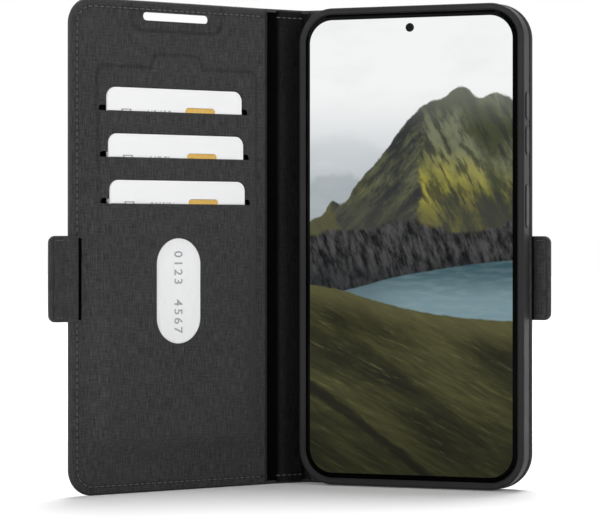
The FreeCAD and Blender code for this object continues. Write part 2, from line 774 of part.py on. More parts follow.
def centre_offset(nodes):
    """The move that puts the origin at the centre of the bottom of the whole case."""
    bounds = Part.makeCompound(list(nodes.values())).optimalBoundingBox(False)
    return Vector(-(bounds.XMin + bounds.XMax) / 2, -(bounds.YMin + bounds.YMax) / 2, -bounds.ZMin)


def main():
    """Build, check and write every node, and print the hinge lines."""
    os.makedirs("parts", exist_ok=True)
    nodes = make_all()
    offset = centre_offset(nodes)
    for name, shape in nodes.items():
        shape.translate(offset)
        if not shape.isValid():
            raise ValueError(name + " is not a valid shape")
        shape.exportStep("parts/" + name + ".step")
        bounds = shape.optimalBoundingBox(False)
        print("%-20s solids %d  volume %9.2f  x %.2f..%.2f  y %.2f..%.2f  z %.2f..%.2f" % (
            name, len(shape.Solids), shape.Volume, bounds.XMin, bounds.XMax, bounds.YMin, bounds.YMax,
            bounds.ZMin, bounds.ZMax))
    print("offset %.6f %.6f %.6f" % tuple(offset))
    for name, point in hinge_points().items():
        print("%s %.6f %.6f" % (name, point.x + offset.x, point.y + offset.y))


main()
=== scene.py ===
"""A phone wallet case, half open and standing on its lower edges, with a phone and three cards in it."""

from __future__ import annotations

import json
import logging
import math
from dataclasses import dataclass, field, replace
from enum import Enum
from typing import Callable, Sequence

import bmesh
import bpy
import numpy as np
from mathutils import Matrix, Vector

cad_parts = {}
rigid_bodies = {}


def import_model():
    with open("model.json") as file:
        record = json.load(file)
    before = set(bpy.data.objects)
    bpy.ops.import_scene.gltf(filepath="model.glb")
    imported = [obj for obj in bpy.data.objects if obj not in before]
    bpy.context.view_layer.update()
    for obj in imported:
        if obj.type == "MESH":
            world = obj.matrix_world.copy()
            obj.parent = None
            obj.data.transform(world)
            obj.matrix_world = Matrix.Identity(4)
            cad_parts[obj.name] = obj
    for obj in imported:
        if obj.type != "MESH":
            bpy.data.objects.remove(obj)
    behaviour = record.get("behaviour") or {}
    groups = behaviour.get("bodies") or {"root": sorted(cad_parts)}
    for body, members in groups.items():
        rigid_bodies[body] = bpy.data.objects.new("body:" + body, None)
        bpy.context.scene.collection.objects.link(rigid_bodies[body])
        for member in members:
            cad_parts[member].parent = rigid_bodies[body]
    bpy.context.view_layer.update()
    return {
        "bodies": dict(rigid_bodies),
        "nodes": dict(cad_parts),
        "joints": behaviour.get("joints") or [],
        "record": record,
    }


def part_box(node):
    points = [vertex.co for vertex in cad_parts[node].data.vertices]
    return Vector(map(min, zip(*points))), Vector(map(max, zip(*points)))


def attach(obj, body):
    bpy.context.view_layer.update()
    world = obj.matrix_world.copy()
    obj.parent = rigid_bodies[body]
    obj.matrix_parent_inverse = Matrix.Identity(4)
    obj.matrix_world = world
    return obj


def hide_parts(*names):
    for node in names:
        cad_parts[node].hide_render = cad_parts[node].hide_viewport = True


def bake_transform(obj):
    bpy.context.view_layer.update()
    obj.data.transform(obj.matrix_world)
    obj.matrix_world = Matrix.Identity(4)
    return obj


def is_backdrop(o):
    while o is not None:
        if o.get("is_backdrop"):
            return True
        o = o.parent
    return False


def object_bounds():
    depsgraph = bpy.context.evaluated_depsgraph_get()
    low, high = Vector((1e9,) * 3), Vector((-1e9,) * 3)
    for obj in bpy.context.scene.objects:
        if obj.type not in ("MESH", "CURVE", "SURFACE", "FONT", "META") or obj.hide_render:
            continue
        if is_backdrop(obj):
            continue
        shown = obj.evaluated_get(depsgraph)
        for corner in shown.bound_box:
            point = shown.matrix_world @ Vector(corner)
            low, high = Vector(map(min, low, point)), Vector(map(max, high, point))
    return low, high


LOG = logging.getLogger("wallet_case")
MM = 0.001
HINGE_DEPTH = 0.3  # millimetres from the outer face to the creases' axes
WELD_GAP = 2e-6  # metres
Array = np.ndarray
Piece = bpy.types.Object
Node = bpy.types.Node
Socket = bpy.types.NodeSocket
Value = Socket | float
Numbers = Array | float
Colour = tuple[float, float, float, float]


def tone(red: int, green: int, blue: int) -> Colour:
    """Gives the linear colour of an 8-bit display colour.

    Args:
        red: Its red, from 0 to 255.
        green: Its green.
        blue: Its blue.

    Returns:
        The colour with a full alpha.
    """
    linear = [
        (c / 255 / 12.92) if c <= 10 else ((c / 255 + 0.055) / 1.055) ** 2.4
        for c in (red, green, blue)
    ]
    return (linear[0], linear[1], linear[2], 1.0)


def grey(level: int) -> Colour:
    """Gives the linear colour of an 8-bit display grey."""
    return tone(level, level, level)


# ---- node graphs


class Graph:
    """Adds nodes to one node tree and wires them together."""

    def __init__(self, tree: bpy.types.NodeTree) -> None:
        """Keeps the tree that the nodes go in.

        Args:
            tree: A material's tree or a group's.
        """
        self.tree = tree

    def node(self, kind: str, inputs: dict | None = None, **settings: object) -> Node:
        """Adds one node.

        Args:
            kind: The node's type.
            inputs: Plain values or sockets for its inputs, by name or index.
            **settings: The node's own properties.

        Returns:
            The new node.
        """
        made = self.tree.nodes.new(kind)
        for name, value in settings.items():
            setattr(made, name, value)
        for key, value in (inputs or {}).items():
            if isinstance(value, bpy.types.NodeSocket):
                self.tree.links.new(value, made.inputs[key])
            else:
                made.inputs[key].default_value = value
        return made

    def math(self, operation: str, a: Value, b: Value = 0.0) -> Socket:
        """Gives the result of one sum on two values."""
        return self.node("ShaderNodeMath", {0: a, 1: b}, operation=operation).outputs[0]

    def times(self, a: Value, b: Value) -> Socket:
        """Multiplies two values."""
        return self.math("MULTIPLY", a, b)

    def plus(self, a: Value, b: Value) -> Socket:
        """Adds two values."""
        return self.math("ADD", a, b)

    def minus(self, a: Value, b: Value) -> Socket:
        """Takes the second value from the first."""
        return self.math("SUBTRACT", a, b)

    def size(self, a: Value) -> Socket:
        """Gives a value without its sign."""
        return self.math("ABSOLUTE", a)

    def larger(self, a: Value, b: Value) -> Socket:
        """Gives the larger of two values."""
        return self.math("MAXIMUM", a, b)

    def feed(self, node: Node, name: str, value: Socket) -> None:
        """Wires a value to one of a node's inputs."""
        self.tree.links.new(value, node.inputs[name])

    def effect(self, tree: bpy.types.NodeTree, place: Socket, **values: float) -> dict[str, Socket]:
        """Places a shared effect.

        Args:
            tree: The effect's node group.
            place: Where it is worked out.
            **values: Plain values for its other inputs.

        Returns:
            The effect's outputs by name.
        """
        made = self.node("ShaderNodeGroup", node_tree=tree)
        self.feed(made, "Place", place)
        for name, value in values.items():
            made.inputs[name].default_value = value
        return {s.name: s for s in made.outputs}

    def mix(self, share: Value, first: Value | Colour, second: Value | Colour) -> Socket:
        """Gives a colour that goes from first to second as share goes from 0 to 1."""
        return self.node("ShaderNodeMix", {0: share, 6: first, 7: second}, data_type="RGBA").outputs[2]

    def step(self, value: Value, low: float, high: float) -> Socket:
        """Gives a soft step that is 0 at low and 1 at high, either way round."""
        inputs = {0: value, 1: low, 2: high, 3: 0.0, 4: 1.0}
        return self.node("ShaderNodeMapRange", inputs, interpolation_type="SMOOTHSTEP").outputs[0]

    def noise(self, place: Socket, scale: float, detail: float = 3.0, roughness: float = 0.55) -> Socket:
        """Gives smooth noise from 0 to 1."""
        inputs = {"Vector": place, "Scale": scale, "Detail": detail, "Roughness": roughness}
        return self.node("ShaderNodeTexNoise", inputs).outputs[0]

    def stretch(self, place: Socket, by: Sequence[float], turn: Sequence[float] = (0, 0, 0)) -> Socket:
        """Gives a place scaled by three factors, after a turn in radians."""
        inputs = {"Vector": place, "Scale": tuple(1 / b for b in by), "Rotation": tuple(turn)}
        return self.node("ShaderNodeMapping", inputs, vector_type="TEXTURE").outputs[0]

    def split(self, place: Socket) -> tuple[Socket, Socket, Socket]:
        """Gives the three coordinates of a place."""
        return tuple(self.node("ShaderNodeSeparateXYZ", {0: place}).outputs)

    def box_gap(self, u: Value, z: Value, box: Sequence[float], corner: float) -> Socket:
        """Gives the distance outside a round-cornered box, below zero inside it.

        Args:
            u: Places across.
            z: Places up.
            box: Its low u, high u, low z and high z.
            corner: The radius of its corners.

        Returns:
            The distance.
        """
        low_u, high_u, low_z, high_z = box
        reach = []
        for value, low, high in ((u, low_u, high_u), (z, low_z, high_z)):
            off = self.size(self.minus(value, (low + high) / 2))
            reach.append(self.minus(off, (high - low) / 2 - corner))
        apart = {0: self.larger(reach[0], 0.0), 1: self.larger(reach[1], 0.0), 2: 0.0}
        outside = self.node("ShaderNodeCombineXYZ", apart).outputs[0]
        length = self.node("ShaderNodeVectorMath", {0: outside}, operation="LENGTH").outputs["Value"]
        inner = self.math("MINIMUM", self.larger(reach[0], reach[1]), 0.0)
        return self.minus(self.plus(length, inner), corner)

    def object_place(self) -> Socket:
        """Gives the place on the model, in millimetres."""
        place = self.node("ShaderNodeTexCoord").outputs["Object"]
        return self.node("ShaderNodeVectorMath", {0: place, "Scale": 1000.0}, operation="SCALE").outputs[0]

    def sheet_place(self) -> Socket:
        """Gives the place on a flat sheet before it was folded, in millimetres."""
        place = self.node("ShaderNodeUVMap", uv_map="flat_mm").outputs[0]
        return self.node("ShaderNodeVectorMath", {0: place, "Scale": 100.0}, operation="SCALE").outputs[0]

    def bump(self, height: Socket, strength: float, distance: float) -> Socket:
        """Gives the normal that a height in metres makes."""
        inputs = {"Height": height, "Strength": strength, "Distance": distance}
        return self.node("ShaderNodeBump", inputs).outputs[0]

    def seen(self) -> Socket:
        """Tells rays to the eye, or by way of gloss or clear things, from the light on the object.

        Returns:
            1 for those rays and 0 for the rest.
        """
        ray = self.node("ShaderNodeLightPath").outputs
        through = self.larger(ray["Is Glossy Ray"], ray["Is Transmission Ray"])
        return self.larger(ray["Is Camera Ray"], through)


def group(
    name: str, takes: dict[str, tuple[str, object]], gives: dict[str, str]
) -> tuple[Graph, dict[str, Socket], Node]:
    """Starts a shader node group.

    Args:
        name: The group's name.
        takes: Each input's socket type and plain value.
        gives: Each output's socket type.

    Returns:
        A graph on the group, its inputs by name, and the node that its outputs go to.
    """
    tree = bpy.data.node_groups.new(name, "ShaderNodeTree")
    for socket, (kind, value) in takes.items():
        made = tree.interface.new_socket(name=socket, in_out="INPUT", socket_type=kind)
        if value is not None:
            made.default_value = value
    for socket, kind in gives.items():
        tree.interface.new_socket(name=socket, in_out="OUTPUT", socket_type=kind)
    graph = Graph(tree)
    entry = graph.node("NodeGroupInput")
    return graph, {s: entry.outputs[s] for s in takes}, graph.node("NodeGroupOutput")


class Effects:
    """The surface effects that several finishes share, each built once as a node group."""

    def __init__(self) -> None:
        """Builds the groups."""
        self.weave = self._weave()
        self.grain = self._grain()
        self.mottle = self._mottle()

    @staticmethod
    def _weave() -> bpy.types.NodeTree:
        """Builds the crossed threads of a woven cloth, with lighter and darker threads among them.

        Returns:
            The node group.
        """
        g, entry, out = group(
            "woven_threads",
            {"Place": ("NodeSocketVector", None), "Pitch": ("NodeSocketFloat", 0.5)},
            {"Shade": "NodeSocketFloat", "Height": "NodeSocketFloat"},
        )
        across, along, _ = g.split(entry["Place"])
        turn = g.math("DIVIDE", 2 * math.pi, entry["Pitch"])
        wobble = g.times(g.noise(entry["Place"], 0.6, 1.0), 1.2)
        warp = g.math("SINE", g.plus(g.times(across, turn), wobble))
        weft = g.math("SINE", g.plus(g.times(along, turn), wobble))
        height = g.plus(g.times(g.times(warp, weft), 0.5), 0.5)
        long_threads = g.noise(g.stretch(entry["Place"], (2.6, 0.22, 1.0)), 1.0, 4.0, 0.6)
        cross_threads = g.noise(g.stretch(entry["Place"], (0.3, 2.2, 1.0)), 1.0, 4.0, 0.6)
        flecks = g.noise(entry["Place"], 2.4, 2.0, 0.6)
        threads = g.plus(g.times(long_threads, 0.5), g.times(cross_threads, 0.3))
        shade = g.plus(threads, g.times(flecks, 0.2))
        shade = g.plus(shade, g.times(g.minus(height, 0.5), 0.1))
        g.feed(out, "Shade", g.step(shade, 0.32, 0.68))
        g.feed(out, "Height", g.plus(height, g.times(threads, 1.4)))
        return g.tree

    @staticmethod
    def _grain() -> bpy.types.NodeTree:
        """Builds a pebbled grain of small cells, as on coated leather and moulded rubber.

        Returns:
            The node group.
        """
        g, entry, out = group(
            "pebble_grain",
            {"Place": ("NodeSocketVector", None), "Cells": ("NodeSocketFloat", 1.6)},
            {"Shade": "NodeSocketFloat", "Height": "NodeSocketFloat"},
        )
        inputs = {"Vector": entry["Place"], "Scale": 0.9, "Detail": 2.0}
        drift = g.node("ShaderNodeTexNoise", inputs).outputs[1]
        place = g.node("ShaderNodeVectorMath", {0: entry["Place"], 1: drift}, operation="ADD").outputs[0]
        inputs = {"Vector": place, "Scale": entry["Cells"], "Smoothness": 0.6}
        cells = g.node("ShaderNodeTexVoronoi", inputs, feature="SMOOTH_F1").outputs["Distance"]
        height = g.minus(1.0, cells)
        fine = g.noise(entry["Place"], 6.0, 3.0)
        shade = g.plus(g.times(fine, 0.6), g.times(cells, 0.5))
        g.feed(out, "Shade", g.step(shade, 0.25, 0.8))
        g.feed(out, "Height", g.plus(height, g.times(fine, 0.35)))
        return g.tree

    @staticmethod
    def _mottle() -> bpy.types.NodeTree:
        """Builds broad uneven patches and a little light dust, for handled surfaces.

        Returns:
            The node group.
        """
        g, entry, out = group(
            "handled_patches",
            {"Place": ("NodeSocketVector", None), "Dust": ("NodeSocketFloat", 0.1)},
            {"Patches": "NodeSocketFloat", "Dust": "NodeSocketFloat"},
        )
        broad = g.noise(entry["Place"], 0.03, 4.0, 0.6)
        specks = g.step(g.noise(entry["Place"], 1.7, 5.0, 0.7), 0.62, 0.8)
        g.feed(out, "Patches", g.step(broad, 0.3, 0.7))
        g.feed(out, "Dust", g.times(specks, entry["Dust"]))
        return g.tree


class Surface(Graph):
    """A material's graph, with its shader and the shared effects."""

    def __init__(
        self, tree: bpy.types.NodeTree, shader: str = "Principled BSDF", effects: Effects | None = None
    ) -> None:
        """Finds the shader.

        Args:
            tree: The material's tree, or the world's.
            shader: The shader's name in it.
            effects: The shared node groups.
        """
        super().__init__(tree)
        self.shader = tree.nodes[shader]
        self.effects = effects

    def lay(self, name: str, value: Socket) -> None:
        """Wires a value to one of the shader's inputs."""
        self.feed(self.shader, name, value)

    def set(self, **values: float | Colour) -> None:
        """Sets plain values on the shader's inputs, named with underscores."""
        for name, value in values.items():
            self.shader.inputs[name.replace("_", " ")].default_value = value


# ---- finishes


@dataclass(frozen=True)
class Finish:
    """A surface finish. Each kind paints its own nodes on the material's shader."""

    name: str

    def material(self, effects: Effects) -> bpy.types.Material:
        """Builds the material, or gives it if it is there.

        Args:
            effects: The shared node groups.

        Returns:
            The material of this name.
        """
        known = bpy.data.materials.get(self.name)
        if known is not None:
            return known
        made = bpy.data.materials.new(self.name)
        made.use_nodes = True
        self.paint(Surface(made.node_tree, effects=effects))
        return made

    def paint(self, g: Surface) -> None:
        """Sets the shader's sockets and wires the finish's nodes to them.

        Args:
            g: The surface that is painted.
        """
        raise NotImplementedError


@dataclass(frozen=True)
class WovenCloth(Finish):
    """Dark heather cloth with visible crossed threads."""

    dark: Colour = grey(30)
    light: Colour = grey(74)
    pitch: float = 0.52
    sheen: float = 0.08
    # crease_shade and crease_reach paint shade into the colour near a crease; pressed paints shade along
    # pressed lines.
    crease_shade: float = 0.0
    crease_reach: float = 1.4
    gloss: float = 0.25
    pressed: tuple[tuple, ...] = ()
    seam: tuple = ()

    def paint(self, g: Surface) -> None:
        """Weaves light and dark threads, paints shade near a crease and along pressed lines, dulls the gloss
        and raises the threads.

        Args:
            g: The surface that is painted.
        """
        place = g.sheet_place()
        weave = g.effect(g.effects.weave, place, Pitch=self.pitch)
        patches = g.effect(g.effects.mottle, place, Dust=0.12)
        colour = g.mix(weave["Shade"], self.dark, self.light)
        worn = g.mix(g.times(patches["Patches"], 0.16), colour, self.light)
        dust_and_painted_shade = g.mix(patches["Dust"], worn, tone(120, 120, 118))
        # Painted shade: the colour goes near-black towards the crease, standing in for the groove's shadow.
        if self.crease_shade:
            across = g.split(place)[0]
            behind = g.step(across, -4.6, -2.4)
            near = g.times(behind, g.step(across, self.crease_reach + 0.9, self.crease_reach))
            dust_and_painted_shade = g.mix(g.times(near, self.crease_shade), dust_and_painted_shade, grey(2))
        u, z, _ = g.split(place)
        # Painted shade along the pressed lines, where the relief's grooves lie in shade; it fades out towards
        # the bottom.
        for boxes in self.pressed:
            gap = g.box_gap(u, z, *boxes[0])
            for box in boxes[1:]:
                gap = g.math("MINIMUM", gap, g.box_gap(u, z, *box))
            line = g.step(g.size(g.minus(gap, 0.3)), 1.1, 0.1)
            line = g.times(line, g.step(z, 40.0, 150.0))
            dust_and_painted_shade = g.mix(g.times(line, 0.4), dust_and_painted_shade, grey(16))
        if self.seam:
            gap = g.size(g.box_gap(u, z, *self.seam))
            dust_and_painted_shade = g.mix(g.times(g.step(gap, 0.7, 0.25), 0.45), dust_and_painted_shade, grey(12))
        g.lay("Base Color", dust_and_painted_shade)
        g.lay("Roughness", g.minus(0.98, g.times(weave["Shade"], 0.14)))
        g.lay("Normal", g.bump(weave["Height"], 0.5, 0.00012))
        g.set(Sheen_Weight=self.sheen, Sheen_Roughness=0.5, Specular_IOR_Level=self.gloss)


@dataclass(frozen=True)
class CoatedLeather(Finish):
    """Black coated leather with a fine pebbled grain."""

    dark: Colour = tone(19, 19, 20)
    light: Colour = tone(37, 37, 38)
    cells: float = 1.5
    roughness: float = 0.52

    def paint(self, g: Surface) -> None:
        """Pebbles the surface, with duller and shinier patches.

        Args:
            g: The surface that is painted.
        """
        place = g.object_place()
        grain = g.effect(g.effects.grain, place, Cells=self.cells)
        patches = g.effect(g.effects.mottle, place, Dust=0.08)
        colour = g.mix(grain["Shade"], self.dark, self.light)
        g.lay("Base Color", g.mix(patches["Dust"], colour, tone(110, 110, 108)))
        g.lay("Roughness", g.plus(self.roughness, g.times(patches["Patches"], 0.14)))
        g.lay("Normal", g.bump(grain["Height"], 0.45, 0.00016))
        g.set(Specular_IOR_Level=0.4)


@dataclass(frozen=True)
class MouldedRubber(Finish):
    """Matt moulded rubber or hard plastic with a fine spark texture."""

    colour: Colour = tone(18, 18, 19)
    # worn is the lighter colour: wear and painted highlight on the raised edges, and the grain's lighter
    # cells.
    worn: Colour = tone(40, 40, 42)
    roughness: float = 0.55
    depth: float = 0.00003

    def paint(self, g: Surface) -> None:
        """Gives the moulded texture, a faint wear and painted highlight on the raised edges, and some dust.

        Args:
            g: The surface that is painted.
        """
        place = g.object_place()
        grain = g.effect(g.effects.grain, place, Cells=5.0)
        patches = g.effect(g.effects.mottle, place, Dust=0.05)
        # Lighter on sharp edges: part wear, part painted highlight where the edges catch light.
        edge = g.step(g.node("ShaderNodeNewGeometry").outputs["Pointiness"], 0.51, 0.62)
        colour = g.mix(g.times(edge, 0.6), self.colour, self.worn)
        shaded = g.mix(g.times(grain["Shade"], 0.18), colour, self.worn)
        g.lay("Base Color", g.mix(patches["Dust"], shaded, grey(120)))
        g.lay("Roughness", g.plus(self.roughness, g.times(patches["Patches"], 0.1)))
        g.lay("Normal", g.bump(grain["Height"], 0.35, self.depth))
        g.set(Specular_IOR_Level=0.24)


@dataclass(frozen=True)
class SpunThread(Finish):
    """Twisted sewing thread."""

    colour: Colour = grey(104)

    def paint(self, g: Surface) -> None:
        """Twists fine strands round the thread.

        Args:
            g: The surface that is painted.
        """
        place = g.object_place()
        strands = g.noise(g.stretch(place, (3.0, 3.0, 9.0), (0.5, 0.3, 0.0)), 1.0, 2.0)
        g.lay("Base Color", g.mix(strands, grey(44), self.colour))
        g.lay("Normal", g.bump(strands, 0.6, 0.00008))
        g.set(Roughness=0.75)


@dataclass(frozen=True)
class CardPlastic(Finish):
    """White card plastic with a small printed box and a row of fine marks that spell nothing."""

    top: float = 0.0
    middle: float = 0.0

    def paint(self, g: Surface) -> None:
        """Prints a small box and a short row of marks near the card's own top.

        Args:
            g: The surface that is painted.
        """
        place = g.object_place()
        x, _, z = g.split(place)
        drop = g.minus(self.top, z)
        side = g.minus(x, self.middle)
        cells = g.noise(g.stretch(place, (1.1, 1.1, 0.01)), 1.0, 0.0)
        gaps = g.step(cells, 0.5, 0.54)
        print_line = g.times(g.step(drop, 7.2, 7.35), g.step(drop, 9.6, 9.5))
        reach = g.times(g.step(side, -6.2, -6.0), g.step(side, -0.6, -0.8))
        marks = g.times(g.times(print_line, reach), gaps)
        box = g.larger(g.size(g.plus(side, 10.9)), g.size(g.minus(drop, 8.2)))
        bar = g.step(g.size(g.minus(box, 0.95)), 0.22, 0.14)
        mottle = g.noise(place, 0.05, 2.0)
        white = g.mix(mottle, tone(249, 250, 251), grey(254))
        printed = g.mix(g.times(marks, 0.55), white, tone(120, 124, 130))
        barred = g.mix(g.times(bar, 0.7), printed, tone(96, 98, 104))
        g.lay("Base Color", barred)
        g.lay("Roughness", g.plus(0.28, g.times(mottle, 0.12)))
        g.lay("Normal", g.bump(g.noise(place, 3.0, 2.0), 0.15, 0.00001))


@dataclass(frozen=True)
class GoldContact(Finish):
    """Thin gold plating with the fine gaps between a chip's contact fields."""

    middle: tuple[float, float] = (0.0, 0.0)

    def paint(self, g: Surface) -> None:
        """Cuts the plate into eight fields round a middle one.

        Args:
            g: The surface that is painted.
        """
        x, _, z = g.split(g.object_place())
        across = g.size(g.minus(x, self.middle[0]))
        up = g.size(g.minus(z, self.middle[1]))
        inside = g.times(g.step(across, 1.35, 1.3), g.step(up, 3.0, 2.9))
        ring = g.times(g.step(g.size(g.minus(across, 1.3)), 0.13, 0.08), g.step(up, 3.1, 3.0))
        rows = g.size(g.minus(g.math("FRACT", g.math("DIVIDE", g.plus(up, 1.2), 2.4)), 0.5))
        lines = g.times(g.step(rows, 0.06, 0.035), g.minus(1.0, inside))
        gap = g.larger(ring, lines)
        grain = g.noise(g.object_place(), 1.2, 3.0)
        gold = g.mix(grain, tone(150, 120, 60), tone(182, 150, 86))
        g.lay("Base Color", g.mix(gap, gold, tone(70, 54, 26)))
        g.lay("Metallic", g.minus(1.0, g.times(gap, 0.6)))
        g.lay("Roughness", g.plus(0.26, g.times(grain, 0.2)))


@dataclass(frozen=True)
class ClearFilm(Finish):
    """Thin clear plastic film with faint scuffs."""

    def paint(self, g: Surface) -> None:
        """Lets most light through and keeps the gloss.

        Args:
            g: The surface that is painted.
        """
        scuffs = g.noise(g.stretch(g.object_place(), (0.9, 0.9, 0.15)), 1.0, 4.0)
        g.lay("Alpha", g.plus(0.03, g.times(scuffs, 0.08)))
        g.lay("Roughness", g.plus(0.06, g.times(scuffs, 0.12)))
        g.set(Base_Color=tone(240, 242, 244), IOR=1.45)


@dataclass(frozen=True)
class PolishedMetal(Finish):
    """Metal with a fine brushed or blasted surface."""

    colour: Colour = tone(52, 53, 56)
    roughness: float = 0.32
    brushed: float = 6.0

    def paint(self, g: Surface) -> None:
        """Brushes the metal along its length.

        Args:
            g: The surface that is painted.
        """
        place = g.object_place()
        lines = g.noise(g.stretch(place, (self.brushed, self.brushed, 0.4)), 1.0, 3.0)
        lighter = tuple(min(1.0, c * 1.5) for c in self.colour[:3]) + (1.0,)
        g.lay("Base Color", g.mix(lines, self.colour, lighter))
        g.lay("Roughness", g.plus(self.roughness, g.times(lines, 0.16)))
        g.set(Metallic=1.0)


@dataclass(frozen=True)
class PaintedGlass(Finish):
    """Glass that is painted on its far side, such as a phone's back or a lens cover."""

    colour: Colour = tone(24, 25, 28)
    glow: Colour = tone(40, 44, 54)
    roughness: float = 0.12
    gloss: float = 0.5
    coat: float = 0.3

    def paint(self, g: Surface) -> None:
        """Gives the deep colour with finger marks in the gloss.

        Args:
            g: The surface that is painted.
        """
        place = g.object_place()
        smears = g.noise(place, 0.12, 5.0, 0.65)
        g.lay("Base Color", g.mix(smears, self.colour, self.glow))
        g.lay("Roughness", g.plus(self.roughness, g.times(smears, 0.16)))
        g.set(Coat_Weight=self.coat, Coat_Roughness=0.05, Specular_IOR_Level=self.gloss)


@dataclass(frozen=True)
class PressedFibre(Finish):
    """Grey board, tape or other plain inner stuff made of short fibres."""

    colour: Colour = tone(88, 86, 82)
    roughness: float = 0.85

    def paint(self, g: Surface) -> None:
        """Scatters short light and dark fibres.

        Args:
            g: The surface that is painted.
        """
        place = g.object_place()
        fibres = g.noise(g.stretch(place, (2.0, 2.0, 0.6), (0.2, 0.9, 0.1)), 1.0, 4.0, 0.7)
        darker = tuple(c * 0.6 for c in self.colour[:3]) + (1.0,)
        g.lay("Base Color", g.mix(fibres, darker, self.colour))
        g.lay("Normal", g.bump(fibres, 0.4, 0.00008))
        g.set(Roughness=self.roughness)


@dataclass
class Scenery:
    """The made-up mountain view on the screen, drawn in layers from the sky to the slope in front."""

    g: Graph
    u: Socket
    v: Socket
    place: Socket
    rough: Socket
    soft: Socket
    view: Socket | None = None

    def streaks(self, by: Sequence[float], turn: float, scale: float, detail: float, rough: float) -> Socket:
        """Gives noise that is drawn out by three factors after a turn in the picture's plane."""
        return self.g.noise(self.g.stretch(self.place, by, (0.0, 0.0, turn)), scale, detail, rough)

    def ridge(self, points: Sequence[tuple[float, float]]) -> Socket:
        """Gives the height of a given ridge line over the picture's width.

        Args:
            points: The line's corners, from left to right.

        Returns:
            The height at each place.
        """
        made = self.g.node("ShaderNodeFloatCurve", {"Factor": 1.0, "Value": self.u})
        line = made.mapping.curves[0].points
        line[0].location, line[1].location = points[0], points[-1]
        for x, y in points[1:-1]:
            line.new(x, y)
        made.mapping.update()
        return made.outputs[0]

    def below(self, line: Socket, wiggle: Socket, amount: float, soft: float) -> Socket:
        """Gives 1 under a ridge line and 0 over it, with some of an uneven line added to it."""
        edge = self.g.plus(line, self.g.times(wiggle, amount))
        return self.g.step(self.g.minus(edge, self.v), -soft, soft)

    def tint(self, share: Socket, amount: float, colour: Socket, over: Colour) -> Socket:
        """Lays part of a colour over another one."""
        return self.g.mix(self.g.times(share, amount), colour, over)

    def sky(self) -> None:
        """Draws the sky and two far ranges in the mist."""
        g = self.g
        clouds = self.streaks((1.0, 2.4, 1.0), 0.0, 3.0, 5.0, 0.6)
        sky = g.mix(g.step(self.v, 0.58, 0.86), tone(172, 180, 186), tone(242, 243, 243))
        sky = self.tint(g.step(clouds, 0.45, 0.75), 0.3, sky, tone(222, 226, 228))
        far = self.ridge([(0.0, 0.725), (0.22, 0.74), (0.4, 0.70), (0.7, 0.69), (1.0, 0.72)])
        mist = g.step(g.minus(far, self.v), 0.09, 0.0)
        far_share = g.times(self.below(far, self.rough, 0.05, 0.02), mist)
        view = self.tint(far_share, 0.2, sky, tone(160, 168, 172))
        nearer = self.ridge([(0.0, 0.645), (0.15, 0.66), (0.3, 0.64), (0.6, 0.6), (1.0, 0.6)])
        share = self.below(nearer, self.rough, 0.03, 0.008)
        self.view = self.tint(share, 0.4, view, tone(140, 148, 150))

    def mountain(self) -> None:
        """Draws the mossy mountain, sunny right of its rib and shady left of it."""
        g, u, v = self.g, self.u, self.v
        line = self.ridge([
            (0.0, 0.555), (0.07, 0.575), (0.11, 0.6), (0.16, 0.592), (0.24, 0.64), (0.36, 0.7), (0.47, 0.765),
            (0.57, 0.808), (0.66, 0.822), (0.76, 0.847), (0.84, 0.822), (0.92, 0.832), (1.0, 0.815),
        ])
        down_right = self.streaks((1.0, 0.2, 1.0), 0.5, 26.0, 7.0, 0.62)
        down_left = self.streaks((1.0, 0.3, 1.0), -0.75, 20.0, 7.0, 0.65)
        patches = self.streaks((1.0, 0.5, 1.0), 0.5, 5.0, 5.0, 0.6)
        low_band = g.step(g.minus(g.plus(v, g.times(u, 0.12)), g.times(patches, 0.14)), 0.74, 0.62)
        bright = g.mix(low_band, tone(112, 116, 92), tone(150, 144, 62))
        sunny = g.mix(g.step(patches, 0.4, 0.62), tone(62, 66, 44), bright)
        sunny = self.tint(g.step(down_right, 0.47, 0.6), 0.8, sunny, tone(44, 48, 42))
        shady = g.mix(g.step(down_left, 0.4, 0.68), tone(44, 47, 46), tone(92, 94, 70))
        foot = g.times(g.step(u, 0.34, 0.1), g.step(patches, 0.4, 0.55))
        shady = self.tint(foot, 0.75, shady, tone(112, 112, 56))
        rib = g.plus(g.minus(u, g.plus(0.5, g.times(v, 0.08))), g.times(self.rough, 0.12))
        moss = g.mix(g.step(rib, -0.015, 0.02), shady, sunny)
        base = g.step(g.plus(v, g.times(self.soft, 0.1)), 0.62, 0.57)
        moss = self.tint(base, 0.6, moss, tone(60, 60, 54))
        haze = g.times(g.step(v, 0.74, 0.85), 0.3)
        share = self.below(line, self.rough, 0.02, 0.003)
        self.view = g.mix(share, self.view, g.mix(haze, moss, tone(160, 166, 156)))

    def scree(self) -> None:
        """Draws the dark stones at the mountain's foot."""
        g = self.g
        line = self.ridge([(0.0, 0.53), (0.2, 0.535), (0.42, 0.555), (0.6, 0.545), (0.8, 0.53), (1.0, 0.555)])
        streaks = self.streaks((1.0, 0.3, 1.0), 0.35, 30.0, 6.0, 0.65)
        stones = g.mix(g.step(streaks, 0.35, 0.68), tone(12, 13, 15), grey(78))
        stones = self.tint(g.step(self.v, 0.5, 0.42), 0.5, stones, tone(34, 36, 38))
        self.view = g.mix(self.below(line, self.soft, 0.05, 0.006), self.view, stones)

    def lake(self) -> None:
        """Draws the water with its faint ripples."""
        g = self.g
        shore = self.ridge([
            (0.0, 0.39), (0.2, 0.405), (0.4, 0.43), (0.62, 0.448), (0.82, 0.462), (1.0, 0.47),
        ])
        ripples = self.streaks((1.0, 5.0, 1.0), 0.0, 9.0, 3.0, 0.5)
        water = g.mix(g.step(self.v, 0.37, 0.46), tone(116, 140, 147), tone(56, 82, 90))
        water = self.tint(g.step(ripples, 0.4, 0.7), 0.12, water, tone(168, 188, 192))
        water = self.tint(g.step(self.u, 0.55, 0.2), 0.5, water, tone(66, 86, 92))
        self.view = g.mix(self.below(shore, self.rough, 0.006, 0.002), self.view, water)

